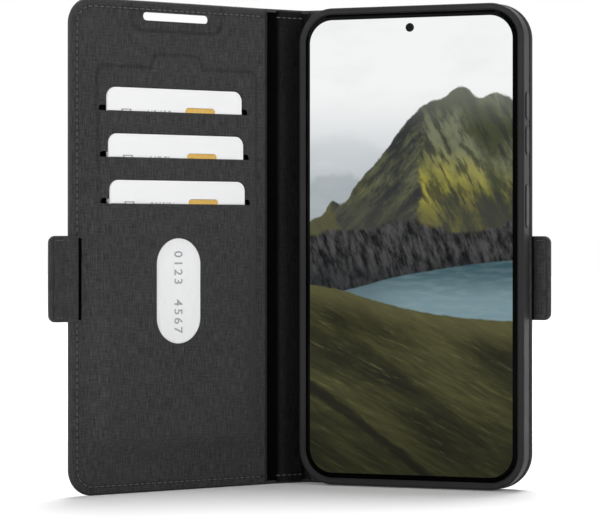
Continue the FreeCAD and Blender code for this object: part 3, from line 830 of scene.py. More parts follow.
    def slope(self) -> None:
        """Draws the grassy slope in front, with its lit rim and its gully."""
        g, u, v = self.g, self.u, self.v
        line = self.ridge([
            (0.0, 0.415), (0.14, 0.405), (0.3, 0.385), (0.5, 0.362), (0.7, 0.348), (1.0, 0.338),
        ])
        folds = self.streaks((1.0, 0.3, 1.0), 1.1, 4.0, 5.0, 0.6)
        grass = g.mix(g.step(folds, 0.36, 0.66), tone(34, 35, 24), tone(72, 72, 44))
        blades = self.streaks((1.0, 0.1, 1.0), 1.1, 48.0, 6.0, 0.7)
        grass = self.tint(g.step(blades, 0.42, 0.66), 0.5, grass, tone(34, 33, 22))
        grass = self.tint(g.step(blades, 0.46, 0.3), 0.4, grass, tone(112, 110, 72))
        rim = g.step(g.minus(line, g.plus(v, g.times(self.soft, 0.04))), 0.075, 0.0)
        grass = self.tint(rim, 0.4, grass, tone(108, 104, 70))
        gully = g.minus(g.plus(g.times(u, 0.33), v), g.minus(0.19, g.times(self.soft, 0.06)))
        grass = self.tint(g.step(g.size(gully), 0.02, 0.006), 0.8, grass, tone(22, 22, 20))
        grass = self.tint(g.step(v, 0.2, 0.0), 0.6, grass, tone(24, 25, 18))
        self.view = g.mix(self.below(line, self.rough, 0.008, 0.002), self.view, grass)


@dataclass(frozen=True)
class LitScreen(Finish):
    """A phone's lit screen: a made-up mountain view behind glass with a black border."""

    left: float = 0.0
    bottom: float = 0.0
    width: float = 70.0
    height: float = 155.0
    corner: float = 7.0

    def paint(self, g: Surface) -> None:
        """Draws the view in layers from the sky to the slope in front, then the border.

        Args:
            g: The surface that is painted.
        """
        x, _, z = g.split(g.object_place())
        u = g.math("DIVIDE", g.minus(x, self.left), self.width)
        v = g.math("DIVIDE", g.minus(z, self.bottom), self.height)
        place = g.node("ShaderNodeCombineXYZ", {0: u, 1: g.times(v, 2.2), 2: 0.0}).outputs[0]
        rough = g.minus(g.noise(place, 14.0, 6.0, 0.6), 0.5)
        soft = g.minus(g.noise(place, 5.0, 3.0, 0.5), 0.5)
        scene = Scenery(g, u, v, place, rough, soft)
        for layer in (scene.sky, scene.mountain, scene.scree, scene.lake, scene.slope):
            layer()
        sides = (self.left, self.left + self.width, self.bottom, self.bottom + self.height)
        lit = g.step(g.box_gap(x, z, sides, self.corner), 0.05, -0.05)
        front_face = g.step(g.split(g.node("ShaderNodeNewGeometry").outputs["True Normal"])[1], -0.9, -0.95)
        g.lay("Emission Color", g.mix(g.times(lit, front_face), grey(0), scene.view))
        smears = g.noise(g.object_place(), 0.08, 5.0, 0.6)
        g.lay("Roughness", g.plus(0.05, g.times(smears, 0.05)))
        g.set(Base_Color=tone(1, 1, 2), Emission_Strength=1.0, Specular_IOR_Level=0.025)


class Slot(Enum):
    """The record's material slots; each new piece is passed one."""

    LEATHER = "leather"
    LINING = "lining"
    POCKET = "pocket_fabric"
    THREAD = "thread"
    FILM = "film"
    CARD = "card"
    GLASS = "cover_glass"
    LENS = "lens"


# ---- geometry


@dataclass(frozen=True)
class Leaf:
    """One flat panel of the case in its own millimetres.

    A place's u runs away from the crease, its z runs up, and its depth runs inwards from the outer face.
    """

    body: str
    origin: tuple[float, float]
    along: tuple[float, float]
    inward: tuple[float, float]

    def at(self, u: Numbers, z: Numbers, depth: Numbers) -> Array:
        """Gives places in the model's frame, in metres.

        Args:
            u: Distances from the crease.
            z: Heights.
            depth: Depths inwards from the outer leather face.

        Returns:
            An array with a row of three coordinates for each place.
        """
        u, z, depth = np.broadcast_arrays(*(np.asarray(a, float) for a in (u, z, depth)))
        x = self.origin[0] + u * self.along[0] + (depth - HINGE_DEPTH) * self.inward[0]
        y = self.origin[1] + u * self.along[1] + (depth - HINGE_DEPTH) * self.inward[1]
        return np.stack([x, y, z], -1).reshape(-1, 3) * MM

    def point(self, u: float, z: float = 72.0) -> tuple[float, float, float]:
        """Gives one place at the creases' depth, in metres."""
        return tuple(self.at(u, z, HINGE_DEPTH)[0])


@dataclass(frozen=True)
class Fold:
    """The soft strip over one crease, from one leaf to the next, in millimetres across the crease."""

    before: Leaf
    after: Leaf
    reach: float = 2.0

    def at(self, across: Numbers, z: Numbers, depth: Numbers) -> Array:
        """Gives places in the model's frame, in metres.

        Args:
            across: Distances across the crease, below zero on the first leaf.
            z: Heights.
            depth: Depths inwards from the outer leather face.

        Returns:
            An array with a row of three coordinates for each place.
        """
        across, z, depth = np.broadcast_arrays(*(np.asarray(a, float) for a in (across, z, depth)))
        pivot, back_way = np.array(self.after.origin), np.array(self.before.along)
        start, end = pivot + back_way * self.reach, pivot + np.array(self.after.along) * self.reach
        t = np.clip((across + self.reach) / (2 * self.reach), 0, 1)[..., None]
        curve = (1 - t) ** 2 * start + 2 * t * (1 - t) * pivot + t**2 * end
        tangent = 2 * (1 - t) * (pivot - start) + 2 * t * (end - pivot)
        tangent = tangent / np.linalg.norm(tangent, axis=-1, keepdims=True)
        beyond = across - np.clip(across, -self.reach, self.reach)
        curve = curve + tangent * beyond[..., None]
        side = np.stack([-tangent[..., 1], tangent[..., 0]], -1)
        if float(np.dot(side.reshape(-1, 2)[-1], self.after.inward)) < 0:
            side = -side
        place = curve + side * (depth - HINGE_DEPTH)[..., None]
        return np.stack([place[..., 0], place[..., 1], z], -1).reshape(-1, 3) * MM

    def point(self, across: float, z: float = 80.0) -> tuple[float, float, float]:
        """Gives one place at the crease's depth, in metres."""
        return tuple(self.at(across, z, HINGE_DEPTH)[0])


@dataclass(frozen=True)
class Outline:
    """A rounded rectangle on a leaf. Corner radii go round from low u, low z."""

    low_u: float
    high_u: float
    low_z: float
    high_z: float
    corners: tuple[float, float, float, float]

    @property
    def sides(self) -> tuple[float, float, float, float]:
        """Gives its low u, high u, low z and high z."""
        return self.low_u, self.high_u, self.low_z, self.high_z

    def distance(self, u: Array, z: Array) -> Array:
        """Gives how far places are outside the outline.

        Args:
            u: Places across.
            z: Places up.

        Returns:
            The distances, below zero inside the outline.
        """
        mid_u, mid_z = (self.low_u + self.high_u) / 2, (self.low_z + self.high_z) / 2
        pu, pz = u - mid_u, z - mid_z
        low = np.where(pu < 0, self.corners[0], self.corners[1])
        high = np.where(pu < 0, self.corners[3], self.corners[2])
        radius = np.where(pz < 0, low, high)
        qu = np.abs(pu) - (self.high_u - self.low_u) / 2 + radius
        qz = np.abs(pz) - (self.high_z - self.low_z) / 2 + radius
        outside = np.hypot(np.maximum(qu, 0), np.maximum(qz, 0))
        return np.minimum(np.maximum(qu, qz), 0) + outside - radius

    def gradient(self, u: Array, z: Array) -> tuple[Array, Array]:
        """Gives the outward direction at places.

        Args:
            u: Places across.
            z: Places up.

        Returns:
            The direction's parts across and up.
        """
        e = 1e-4
        gu = (self.distance(u + e, z) - self.distance(u - e, z)) / (2 * e)
        gz = (self.distance(u, z + e) - self.distance(u, z - e)) / (2 * e)
        size = np.maximum(np.hypot(gu, gz), 1e-9)
        return gu / size, gz / size


def pill(mid_u: float, mid_z: float, width: float, height: float, radius: float) -> Outline:
    """Gives a rounded rectangle about a middle point."""
    u, z = width / 2, height / 2
    return Outline(mid_u - u, mid_u + u, mid_z - z, mid_z + z, (radius,) * 4)


def smooth(value: Array, low: float, high: float) -> Array:
    """Gives a soft step from 0 at low to 1 at high."""
    t = np.clip((value - low) / (high - low), 0, 1)
    return t * t * (3 - 2 * t)


def ripple(u: Array, z: Array, seed: int, size: float) -> Array:
    """Gives gentle uneven waves from -1 to 1, the same on each run.

    Args:
        u: Places across.
        z: Places up.
        seed: Chooses the waves.
        size: The waves' length in millimetres.

    Returns:
        The waves' height at each place.
    """
    chance = np.random.default_rng(seed)
    total = np.zeros(np.broadcast(u, z).shape)
    for _ in range(9):
        angle, phase, share = chance.uniform(0, math.pi), chance.uniform(0, 6.28), chance.uniform(0.6, 1.6)
        run = u * math.cos(angle) + z * math.sin(angle)
        total = total + np.sin(run * 6.28 / (size * share) + phase)
    return total / 5


def grid_faces(index: Array) -> Array:
    """Gives the four corner numbers of each face of a grid."""
    return np.stack([index[:-1, :-1], index[:-1, 1:], index[1:, 1:], index[1:, :-1]], -1).reshape(-1, 4)


def ring_faces(first: int, sides: int) -> list[list[int]]:
    """Gives the faces between one ring of corners and the next ring after it."""
    pairs = ((first + k, first + (k + 1) % sides) for k in range(sides))
    return [[a, b, b + sides, a + sides] for a, b in pairs]


Depth = Callable[[Array, Array], Array]
Mark = tuple[Array, Array, Array]
Seam = list[tuple[float, float, float, float]]
Pairs = tuple[tuple[float, float], ...]


@dataclass
class Sheet:
    """A sheet of cloth or leather on a leaf: a fine grid cut to an outline, with holes and turned edges."""

    name: str
    us: Array
    zs: Array
    depth: Depth
    outer: Outline | None = None
    holes: tuple[Outline, ...] = ()
    outer_turn: Pairs = ()
    hole_turn: Pairs = ()
    places: list = field(default_factory=list)
    faces: list = field(default_factory=list)
    flats: list = field(default_factory=list)

    def cut(self) -> None:
        """Cuts the grid to its outlines and turns its edges."""
        u, z = np.meshgrid(self.us, self.zs)
        shape = u.shape
        u, z = u.ravel().copy(), z.ravel().copy()
        index = np.arange(u.size).reshape(shape)
        quads = grid_faces(index)
        step = float(np.median(np.diff(self.us)))
        edge_of = np.full(u.size, -1)
        cuts = ([(self.outer, 1.0)] if self.outer else []) + [(h, -1.0) for h in self.holes]
        gone = np.zeros(u.size, bool)
        for k, (shape_k, sign) in enumerate(cuts):
            past = shape_k.distance(u, z) * sign
            off = past > -0.2 * step
            edge_of[off & ~gone] = k
            gone |= off
        keep = quads[~gone[quads].all(1)]
        used = np.unique(keep)
        for k, (shape_k, sign) in enumerate(cuts):
            mine = used[edge_of[used] == k]
            for _ in range(3):
                gap = shape_k.distance(u[mine], z[mine])
                gu, gz = shape_k.gradient(u[mine], z[mine])
                u[mine] -= gap * gu
                z[mine] -= gap * gz
        d = self.depth(u, z)
        renumber = np.full(u.size, -1)
        renumber[used] = np.arange(used.size)
        self.places = [np.stack([u[used], z[used], d[used]], -1)]
        self.flats = [np.stack([u[used], z[used]], -1)]
        self.faces = renumber[keep].tolist()
        ordered = np.concatenate([keep[:, [a, b]] for a, b in ((0, 1), (1, 2), (2, 3), (3, 0))])
        _, first, count = np.unique(np.sort(ordered, 1), axis=0, return_index=True, return_counts=True)
        rim = ordered[first[count == 1]]
        total = used.size
        for k, (shape_k, sign) in enumerate(cuts):
            turn = self.outer_turn if k == 0 and self.outer else self.hole_turn
            mine = rim[(edge_of[rim] == k).all(1)]
            if not turn or not len(mine):
                continue
            ends = np.unique(mine)
            gu, gz = shape_k.gradient(u[ends], z[ends])
            ring = {int(v): int(renumber[v]) for v in ends}
            run = 0.0
            for inset, depth in turn:
                pu, pz = u[ends] - sign * gu * inset, z[ends] - sign * gz * inset
                self.places.append(np.stack([pu, pz, np.full(ends.size, depth)], -1))
                run += 0.5
                self.flats.append(np.stack([u[ends] + sign * gu * run, z[ends] + sign * gz * run], -1))
                after = {int(v): total + i for i, v in enumerate(ends)}
                self.faces += [[ring[int(b)], ring[int(a)], after[int(a)], after[int(b)]] for a, b in mine]
                ring, total = after, total + ends.size

    def build(self, at: Callable[..., Array]) -> Piece:
        """Makes the mesh.

        Args:
            at: The leaf's function that turns millimetres into places.

        Returns:
            The new object, with the flat pattern's millimetres as its UV map.
        """
        self.cut()
        local = np.concatenate(self.places)
        return mesh_object(self.name, at(*local.T), self.faces, np.concatenate(self.flats))


def mesh_object(
    name: str, places: Array, faces: Sequence, flats: Array | None = None, sharp: float = 40.0
) -> Piece:
    """Makes a smooth mesh object whose crisp edges stay crisp.

    Args:
        name: The object's name.
        places: Corners in metres.
        faces: Corner numbers of each face.
        flats: The flat pattern's place of each corner, in millimetres.
        sharp: Edges sharper than this many degrees stay crisp.

    Returns:
        The new object.
    """
    mesh = bpy.data.meshes.new(name)
    mesh.from_pydata([tuple(p) for p in places], [], [tuple(f) for f in faces])
    mesh.validate()
    layer = mesh.uv_layers.new(name="flat_mm")
    corner = np.zeros(len(mesh.loops), int)
    mesh.loops.foreach_get("vertex_index", corner)
    source = flats if flats is not None else np.asarray(places)[:, [0, 2]] * 1000
    layer.data.foreach_set("uv", (np.asarray(source)[corner] / 100).astype(np.float32).ravel())
    mesh.shade_smooth()
    mesh.set_sharp_from_angle(angle=math.radians(sharp))
    made = bpy.data.objects.new(name, mesh)
    bpy.context.scene.collection.objects.link(made)
    return made


def stitch_row(
    name: str, marks: Sequence[Mark], length: float = 1.7, width: float = 0.42
) -> Piece:
    """Makes a row of separate stitches, each a short thread that dips at both ends.

    Args:
        name: The row's name.
        marks: Each stitch's middle in metres, its direction and the way out of the surface.
        length: A stitch's length in millimetres.
        width: A stitch's width in millimetres.

    Returns:
        One object with all the stitches.
    """
    places, faces = [], []
    rings, sides = 6, 8
    for middle, along, out in marks:
        across = np.cross(along, out)
        first = len(places)
        for i in range(rings):
            t = i / (rings - 1) * 2 - 1
            wide = width / 2 * MM * (0.45 + 0.55 * math.sqrt(max(0.0, 1 - t**4)))
            lift = (0.10 * (1 - t * t) - 0.05) * MM
            for k in range(sides):
                a = 2 * math.pi * k / sides
                spot = middle + along * (t * length / 2 * MM) + across * math.cos(a) * wide
                places.append(spot + out * (lift + math.sin(a) * wide * 0.7))
        for i in range(rings - 1):
            faces += ring_faces(first + i * sides, sides)
        faces.append(tuple(first + k for k in reversed(range(sides))))
        faces.append(tuple(first + (rings - 1) * sides + k for k in range(sides)))
    return mesh_object(name, np.array(places), faces, None, 80.0)


def seam_path(outline: Outline, inset: float, pitch: float, crease_side: float) -> Seam:
    """Walks a seam along the bottom, the free side and the top of a cover.

    Args:
        outline: The cover's outline.
        inset: The seam's distance from the edge.
        pitch: The distance between stitches.
        crease_side: The u at which the seam starts and ends.

    Returns:
        Each stitch's u and z and its direction's two parts.
    """
    low, high, right = outline.low_z + inset, outline.high_z - inset, outline.high_u - inset
    r = outline.corners[1] - inset
    u = right - r
    corners = [(crease_side, low), (u, low)]
    corners += [(u + r * math.sin(a), low + r - r * math.cos(a)) for a in np.linspace(0.1, math.pi / 2, 12)]
    corners += [(u + r * math.cos(a), high - r + r * math.sin(a)) for a in np.linspace(0.0, math.pi / 2, 13)]
    corners += [(crease_side, high)]
    line = np.array(corners)
    leg = np.diff(line, axis=0)
    run = np.concatenate([[0], np.cumsum(np.hypot(leg[:, 0], leg[:, 1]))])
    count = int(run[-1] / pitch)
    found = []
    for s in (np.arange(count) + 0.5) * run[-1] / count:
        i = min(int(np.searchsorted(run, s)) - 1, len(leg) - 1)
        way = leg[i] / np.hypot(*leg[i])
        spot = line[i] + way * (s - run[i])
        found.append((float(spot[0]), float(spot[1]), float(way[0]), float(way[1])))
    return found


def leaf_marks(leaf: Leaf, seam: Seam, depth: float, outside: bool) -> list[Mark]:
    """Turns a seam on a leaf into stitch marks in the model's frame.

    Args:
        leaf: The leaf.
        seam: Each stitch's u and z and its direction's two parts.
        depth: The stitches' depth.
        outside: True if they lie on the outer face.

    Returns:
        Each stitch's middle, its direction and the way out of the surface.
    """
    out = np.array([leaf.inward[0], leaf.inward[1], 0.0]) * (-1 if outside else 1)
    marks = []
    for u, z, du, dz in seam:
        along = np.array([leaf.along[0] * du, leaf.along[1] * du, dz])
        marks.append((leaf.at(u, z, depth)[0], along / np.linalg.norm(along), out))
    return marks


# ---- the assembly


@dataclass(frozen=True)
class Finishes:
    """Every finish in the scene."""

    effects: Effects
    # The lining carries painted shade at its edge by the crease.
    lining: Finish = WovenCloth("woven_lining", grey(25), grey(72), crease_shade=0.92, crease_reach=2.0)
    # A darker copy of the lining cloth: painted shade for the spine's recess between the covers.
    spine_lining: Finish = WovenCloth("woven_spine_lining", grey(16), grey(44), sheen=0.0, gloss=0.04)
    # The same darker copy, with painted shade in the front crease's groove.
    crease_lining: Finish = WovenCloth(
        "woven_crease_lining", grey(16), grey(44), sheen=0.0, gloss=0.04, crease_shade=1.0
    )
    # Near-black sheets of painted shade behind the slits and the strap slot.
    slit_painted_shade: Finish = WovenCloth("woven_painted_slit_shade", grey(3), grey(12), sheen=0.0, gloss=0.0)
    # Painted shadow along the rear strap's root, next to the tray.
    rear_tab_cloth: Finish = WovenCloth(
        "woven_rear_tab", grey(34), grey(78), crease_shade=1.0, crease_reach=1.5, gloss=0.1
    )
    tab_cloth: Finish = WovenCloth("woven_tab", grey(30), grey(66))
    leather: Finish = CoatedLeather("coated_leather")
    rubber: Finish = MouldedRubber("moulded_rubber")
    button: Finish = MouldedRubber("button_rubber", tone(15, 15, 16), roughness=0.46)
    thread: Finish = SpunThread("spun_thread")
    film: Finish = ClearFilm("clear_film")
    metal: Finish = PolishedMetal("phone_frame_metal")
    core: Finish = PressedFibre("phone_core_plastic", tone(34, 34, 36), 0.6)
    back_glass: Finish = PaintedGlass("phone_back_glass")
    plate: Finish = PolishedMetal("camera_plate_metal", tone(60, 61, 64), 0.3)
    lens: Finish = PaintedGlass("lens_glass", tone(4, 4, 6), tone(14, 17, 34), 0.03, gloss=0.14, coat=0.0)
    camera_eye: Finish = PaintedGlass(
        "camera_eye_glass", tone(1, 1, 2), tone(5, 6, 12), 0.1, gloss=0.04, coat=0.0
    )
    digit_print: Finish = PaintedGlass("digit_print", tone(150, 151, 154), tone(168, 169, 172), 0.3)
    board: Finish = PressedFibre("grey_board")
    glue: Finish = PressedFibre("adhesive_tape", tone(150, 148, 140), 0.5)
    magnet: Finish = PolishedMetal("magnet_nickel", tone(150, 150, 148), 0.25)

    def dress(self, piece: Piece, finish: Finish) -> None:
        """Puts one finish on the whole of a piece.

        Args:
            piece: The piece.
            finish: Its finish.
        """
        made = finish.material(self.effects)
        piece.data.materials.clear()
        piece.data.materials.append(made)
        for face in piece.data.polygons:
            face.material_index = 0
        LOG.info("%s: %d faces, %s", piece.name, len(piece.data.polygons), made.name)


@dataclass
class Case:
    """What every sub-assembly needs: the frame's nodes, the four leaves' places and the finishes."""

    frame: dict
    finishes: Finishes
    rear_tab_tilt: float = 8.0
    front_lap: float = 1.1

    def __post_init__(self) -> None:
        """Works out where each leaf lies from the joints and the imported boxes."""
        hinges = [j for j in self.frame["joints"] if j["type"] == "hinge"]
        joints = {j["name"]: np.array(j["pos_m"][:2]) / MM for j in hinges}
        spine_at, front_at = joints["spine_fold"], joints["cover_fold"]
        self.spine_width = float(np.linalg.norm(front_at - spine_at))
        self.back = Leaf("back", tuple(spine_at), (1.0, 0.0), (0.0, -1.0))
        way = (front_at - spine_at) / self.spine_width
        self.spine = Leaf("spine", tuple(spine_at), tuple(way), (float(-way[1]), float(way[0])))
        reach = joints["front_tab_fold"] - front_at
        self.front_tab_axis = float(np.linalg.norm(reach))
        way = reach / self.front_tab_axis
        self.front = Leaf("front", tuple(front_at), tuple(way), (float(-way[1]), float(way[0])))
        tab_at = joints["rear_tab_fold"]
        tilt = math.radians(self.rear_tab_tilt)
        across, down = math.cos(tilt), -math.sin(tilt)
        self.rear_tab = Leaf("rear_tab", tuple(tab_at), (across, down), (down, -across))
        low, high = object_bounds()
        self.height = (high.z - low.z) / MM
        self.back_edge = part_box("back_skin")[1].x / MM - float(spine_at[0])
        self.front_edge = self.front_tab_axis - self.front_lap
        LOG.info("spine %.2f mm, front edge %.2f mm", self.spine_width, self.front_edge)

    def add(
        self, piece: Piece, finish: Finish, slot: Slot, replaces: Sequence[str] = (), body: str = ""
    ) -> Piece:
        """Dresses a new piece, hides the CAD nodes that it stands for, and makes it ride.

        Args:
            piece: The new piece.
            finish: Its finish.
            slot: The record's slot for the piece; not used.
            replaces: The CAD nodes that it stands for.
            body: The body it rides on, or nothing for none.

        Returns:
            The same piece.
        """
        self.finishes.dress(piece, finish)
        if replaces:
            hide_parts(*replaces)
        if body:
            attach(piece, body)
        return piece


LEATHER_TURN = ((0.0, 0.95), (0.12, 1.3), (0.4, 1.52), (1.1, 1.56))
HOLE_TURN = ((0.0, 0.8), (0.0, 1.45))


def edge_round(gap: Array, radius: float = 0.6, depth: float = 0.5) -> Array:
    """Gives how far a turned edge has rounded away at a distance inside the outline."""
    t = np.clip(1 - gap / radius, 0, 1)
    return depth * (1 - np.sqrt(np.maximum(0, 1 - t * t)))


@dataclass
class Covers:
    """The outer leather of the two covers, with its turned edges, camera window, call slot and seams."""

    case: Case
    front_corner: float = 9.0
    back_corner: float = 12.45
    start: float = 3.0
    seam_inset: float = 2.9
    seam_pitch: float = 2.25

    def outline(self, edge: float, corner: float, inset: float) -> Outline:
        """Gives a cover's outline at an inset from its edge. It runs on past the crease."""
        radius = corner - inset
        return Outline(-40, edge - inset, inset, self.case.height - inset, (1.0, radius, radius, 1.0))

    def front_outline(self, inset: float = 0.0) -> Outline:
        """Gives the front cover's outline."""
        return self.outline(self.case.front_edge, self.front_corner, inset)

    def back_outline(self, inset: float = 0.0) -> Outline:
        """Gives the back cover's outline."""
        return self.outline(self.case.back_edge, self.back_corner, inset)

    def call_slot(self, grow: float = 0.0) -> Outline:
        """Gives the slot at the top of the front cover that a call is heard through."""
        u, z = self.case.front_edge / 2 - 1.6, self.case.height - 5.2
        return pill(u, z, 26.7 + 2 * grow, 2.8 + 2 * grow, 1.4 + grow)

    def camera_window(self, grow: float = 0.0) -> Outline:
        """Gives the window in the back cover round the phone's cameras.

        Args:
            grow: How much larger it is on each side.

        Returns:
            The window's outline.
        """
        low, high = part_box("phone_camera_plate")
        left, reach = self.case.back.origin[0], 1.2 + grow
        u0, u1 = low.x / MM - left - reach, high.x / MM - left + reach
        return Outline(u0, u1, low.z / MM - reach, high.z / MM + reach, (6.7 + grow,) * 4)

    def outer(self, outline: Outline, hole: Outline, press: float) -> Depth:
        """Gives the outer face's depth, rounded at the edges and pressed round the hole.

        Args:
            outline: The cover's outline.
            hole: The hole in it.
            press: The depth of the pressed line round the hole.

        Returns:
            A function that gives the depth at places.
        """

        def depth(u: Array, z: Array) -> Array:
            """Gives the depth at places on the cover.

            Args:
                u: Places across.
                z: Places up.

            Returns:
                The depth at each place.
            """
            d = edge_round(-outline.distance(u, z)) + edge_round(hole.distance(u, z), 0.5, 0.35)
            d += press * np.exp(-((hole.distance(u, z) - 2.2) ** 2) / 0.18)
            seam = np.exp(-((outline.distance(u, z) + self.seam_inset) ** 2) / 0.3)
            return d + 0.08 * seam + 0.02 * ripple(u, z, 3, 30)

        return depth

    def build(self) -> None:
        """Builds both covers and their stitches."""
        c = self.case
        for leaf, outline, hole, press in (
            (c.front, self.front_outline(), self.call_slot(), 0.12),
            (c.back, self.back_outline(), self.camera_window(), 0.0),
        ):
            us = np.arange(self.start, outline.high_u + 1.0, 0.7)
            zs = np.arange(-0.6, c.height + 1.0, 0.7)
            depth = self.outer(outline, hole, press)
            name = f"{leaf.body}_cover"
            made = Sheet(f"{name}_leather", us, zs, depth, outline, (hole,), LEATHER_TURN, HOLE_TURN)
            piece = made.build(leaf.at)
            c.add(piece, c.finishes.leather, Slot.LEATHER, (f"{leaf.body}_skin",), leaf.body)
            seam = seam_path(outline, self.seam_inset, self.seam_pitch, 4.5)
            row = stitch_row(f"{name}_outer_stitches", leaf_marks(leaf, seam, 0.05, True))
            c.add(row, c.finishes.thread, Slot.THREAD, (), leaf.body)


@dataclass
class Spine:
    """The leather and the cloth that run round the spine, over both creases; the cloth is darkened with
    painted shade.
    """

    case: Case
    overlap: float = 3.0

    def leather_depth(self, z: Array) -> Array:
        """Gives the leather's outer face, rounded at the top and bottom."""
        return edge_round(np.minimum(z, self.case.height - z))

    def cloth_depth(
        self, across: Array, z: Array, first: float, second: float, turned: bool
    ) -> Array:
        """Gives the cloth's depth: low in the crease and up on each side.

        Args:
            across: Distances from the crease, below zero on the first leaf.
            z: Heights.
            first: The cloth's depth on the first leaf.
            second: Its depth on the second.
            turned: True if the second leaf is the front cover.

        Returns:
            The depth at each place.
        """
        low = 0.66
        seed, reach = (11, 3.2) if turned else (7, 2.2)
        d = low + (first - low) * smooth(-across, 0.7, reach) + (second - low) * smooth(across, 0.7, 2.2)
        top = smooth(z, self.case.height * 0.45, self.case.height)
        waves = (0.05 + 0.1 * top) * ripple(across * 1.6, z * 0.35, seed, 9)
        d = d + waves * smooth(np.abs(across), 0.5, 3.0)
        gap = np.minimum(z - 0.5, self.case.height - 0.5 - z)
        return d - edge_round(gap, 0.5, 0.25)

    def build(self) -> None:
        """Builds the two leather strips and the two cloth strips, each bending over its own crease."""
        c = self.case
        half = c.spine_width / 2
        turned_spine = Leaf("spine", c.front.origin, tuple(-a for a in c.spine.along), c.spine.inward)
        back_fold = Fold(c.back, c.spine)
        front_fold = Fold(turned_spine, c.front)
        ends = np.array([0.0, 0.12, 0.3, 0.6])
        zs = np.concatenate([ends, np.arange(1.4, c.height - 1, 1.2), c.height - ends[::-1]])
        self.stitches()
        for name, fold, low, high, a, b, nodes in (
            ("spine_leather_rear", back_fold, -self.overlap, half, "back", "spine", ("spine_skin",)),
            ("spine_leather_front", front_fold, -half, self.overlap, "spine", "front", ()),
        ):
            piece = self.strip(name, fold, low, high, zs, lambda w, z: self.leather_depth(z), 1.12)
            c.add(piece, c.finishes.leather, Slot.LEATHER, nodes)
            fold.point(-2.0)
            fold.point(2.0)
            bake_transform(piece)
        top = [c.height - 0.7, c.height - 0.5]
        zs = np.concatenate([[0.5, 0.7], np.arange(1.2, c.height - 1, 0.9), top])
        f = c.finishes
        for name, fold, low, high, a, b, nodes, depths, cloth in (
            ("rear", back_fold, -2.6, half, "back", "spine", ("spine_lining",), (1.5, 1.25), f.spine_lining),
            ("front", front_fold, -half, 2.6, "spine", "front", (), (1.25, 1.5), f.crease_lining),
        ):
            is_front = name == "front"
            piece = self.strip(
                f"spine_cloth_{name}", fold, low, high, zs,
                lambda w, z: self.cloth_depth(w, z, *depths, is_front), None,
            )
            c.add(piece, cloth, Slot.LINING, nodes)
            fold.point(-2.0)
            fold.point(2.0)
            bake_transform(piece)

    def stitches(self) -> None:
        """Sews the short rows across the top and bottom of the spine's cloth."""
        c = self.case
        us = np.arange(2.6, c.spine_width - 2.4, 2.2)
        seam = [(u, z, 1.0, 0.0) for z in (2.9, c.height - 2.9) for u in us]
        row = stitch_row("spine_inner_stitches", leaf_marks(c.spine, seam, 1.22, False))
        c.add(row, c.finishes.thread, Slot.THREAD, (), "spine")

    def strip(
        self, name: str, fold: Fold, low: float, high: float, zs: Array, depth: Depth,
        turned_to: float | None,
    ) -> Piece:
        """Makes one strip over a crease, with its upper and lower edges turned in if asked.

        Args:
            name: The strip's name.
            fold: Where it runs.
            low: Its start across the crease.
            high: Its end across the crease.
            zs: The heights of its rows.
            depth: Its depth at places.
            turned_to: The depth that the ends turn in to, or None for a plain cut.

        Returns:
            The new strip.
        """
        ws = np.arange(low, high + 0.01, (high - low) / round((high - low) / 0.35))
        w, z = np.meshgrid(ws, zs)
        d = depth(w, z)
        if turned_to is not None:
            rise = np.array([[0.0], [0.35], [1.2]])
            fall = turned_to - np.array([[0.3], [0.05], [0.0]])
            row = np.ones(ws.size)
            z = np.vstack([rise[::-1] * row, z, (self.case.height - rise) * row])
            d = np.vstack([fall[::-1] * row, d, fall * row])
            w = np.repeat(ws[None, :], z.shape[0], 0)
        faces = grid_faces(np.arange(w.size).reshape(w.shape))
        w, z, d = w.ravel(), z.ravel(), d.ravel()
        return mesh_object(name, fold.at(w, z, d), faces.tolist(), np.stack([w, z], -1), 50.0)


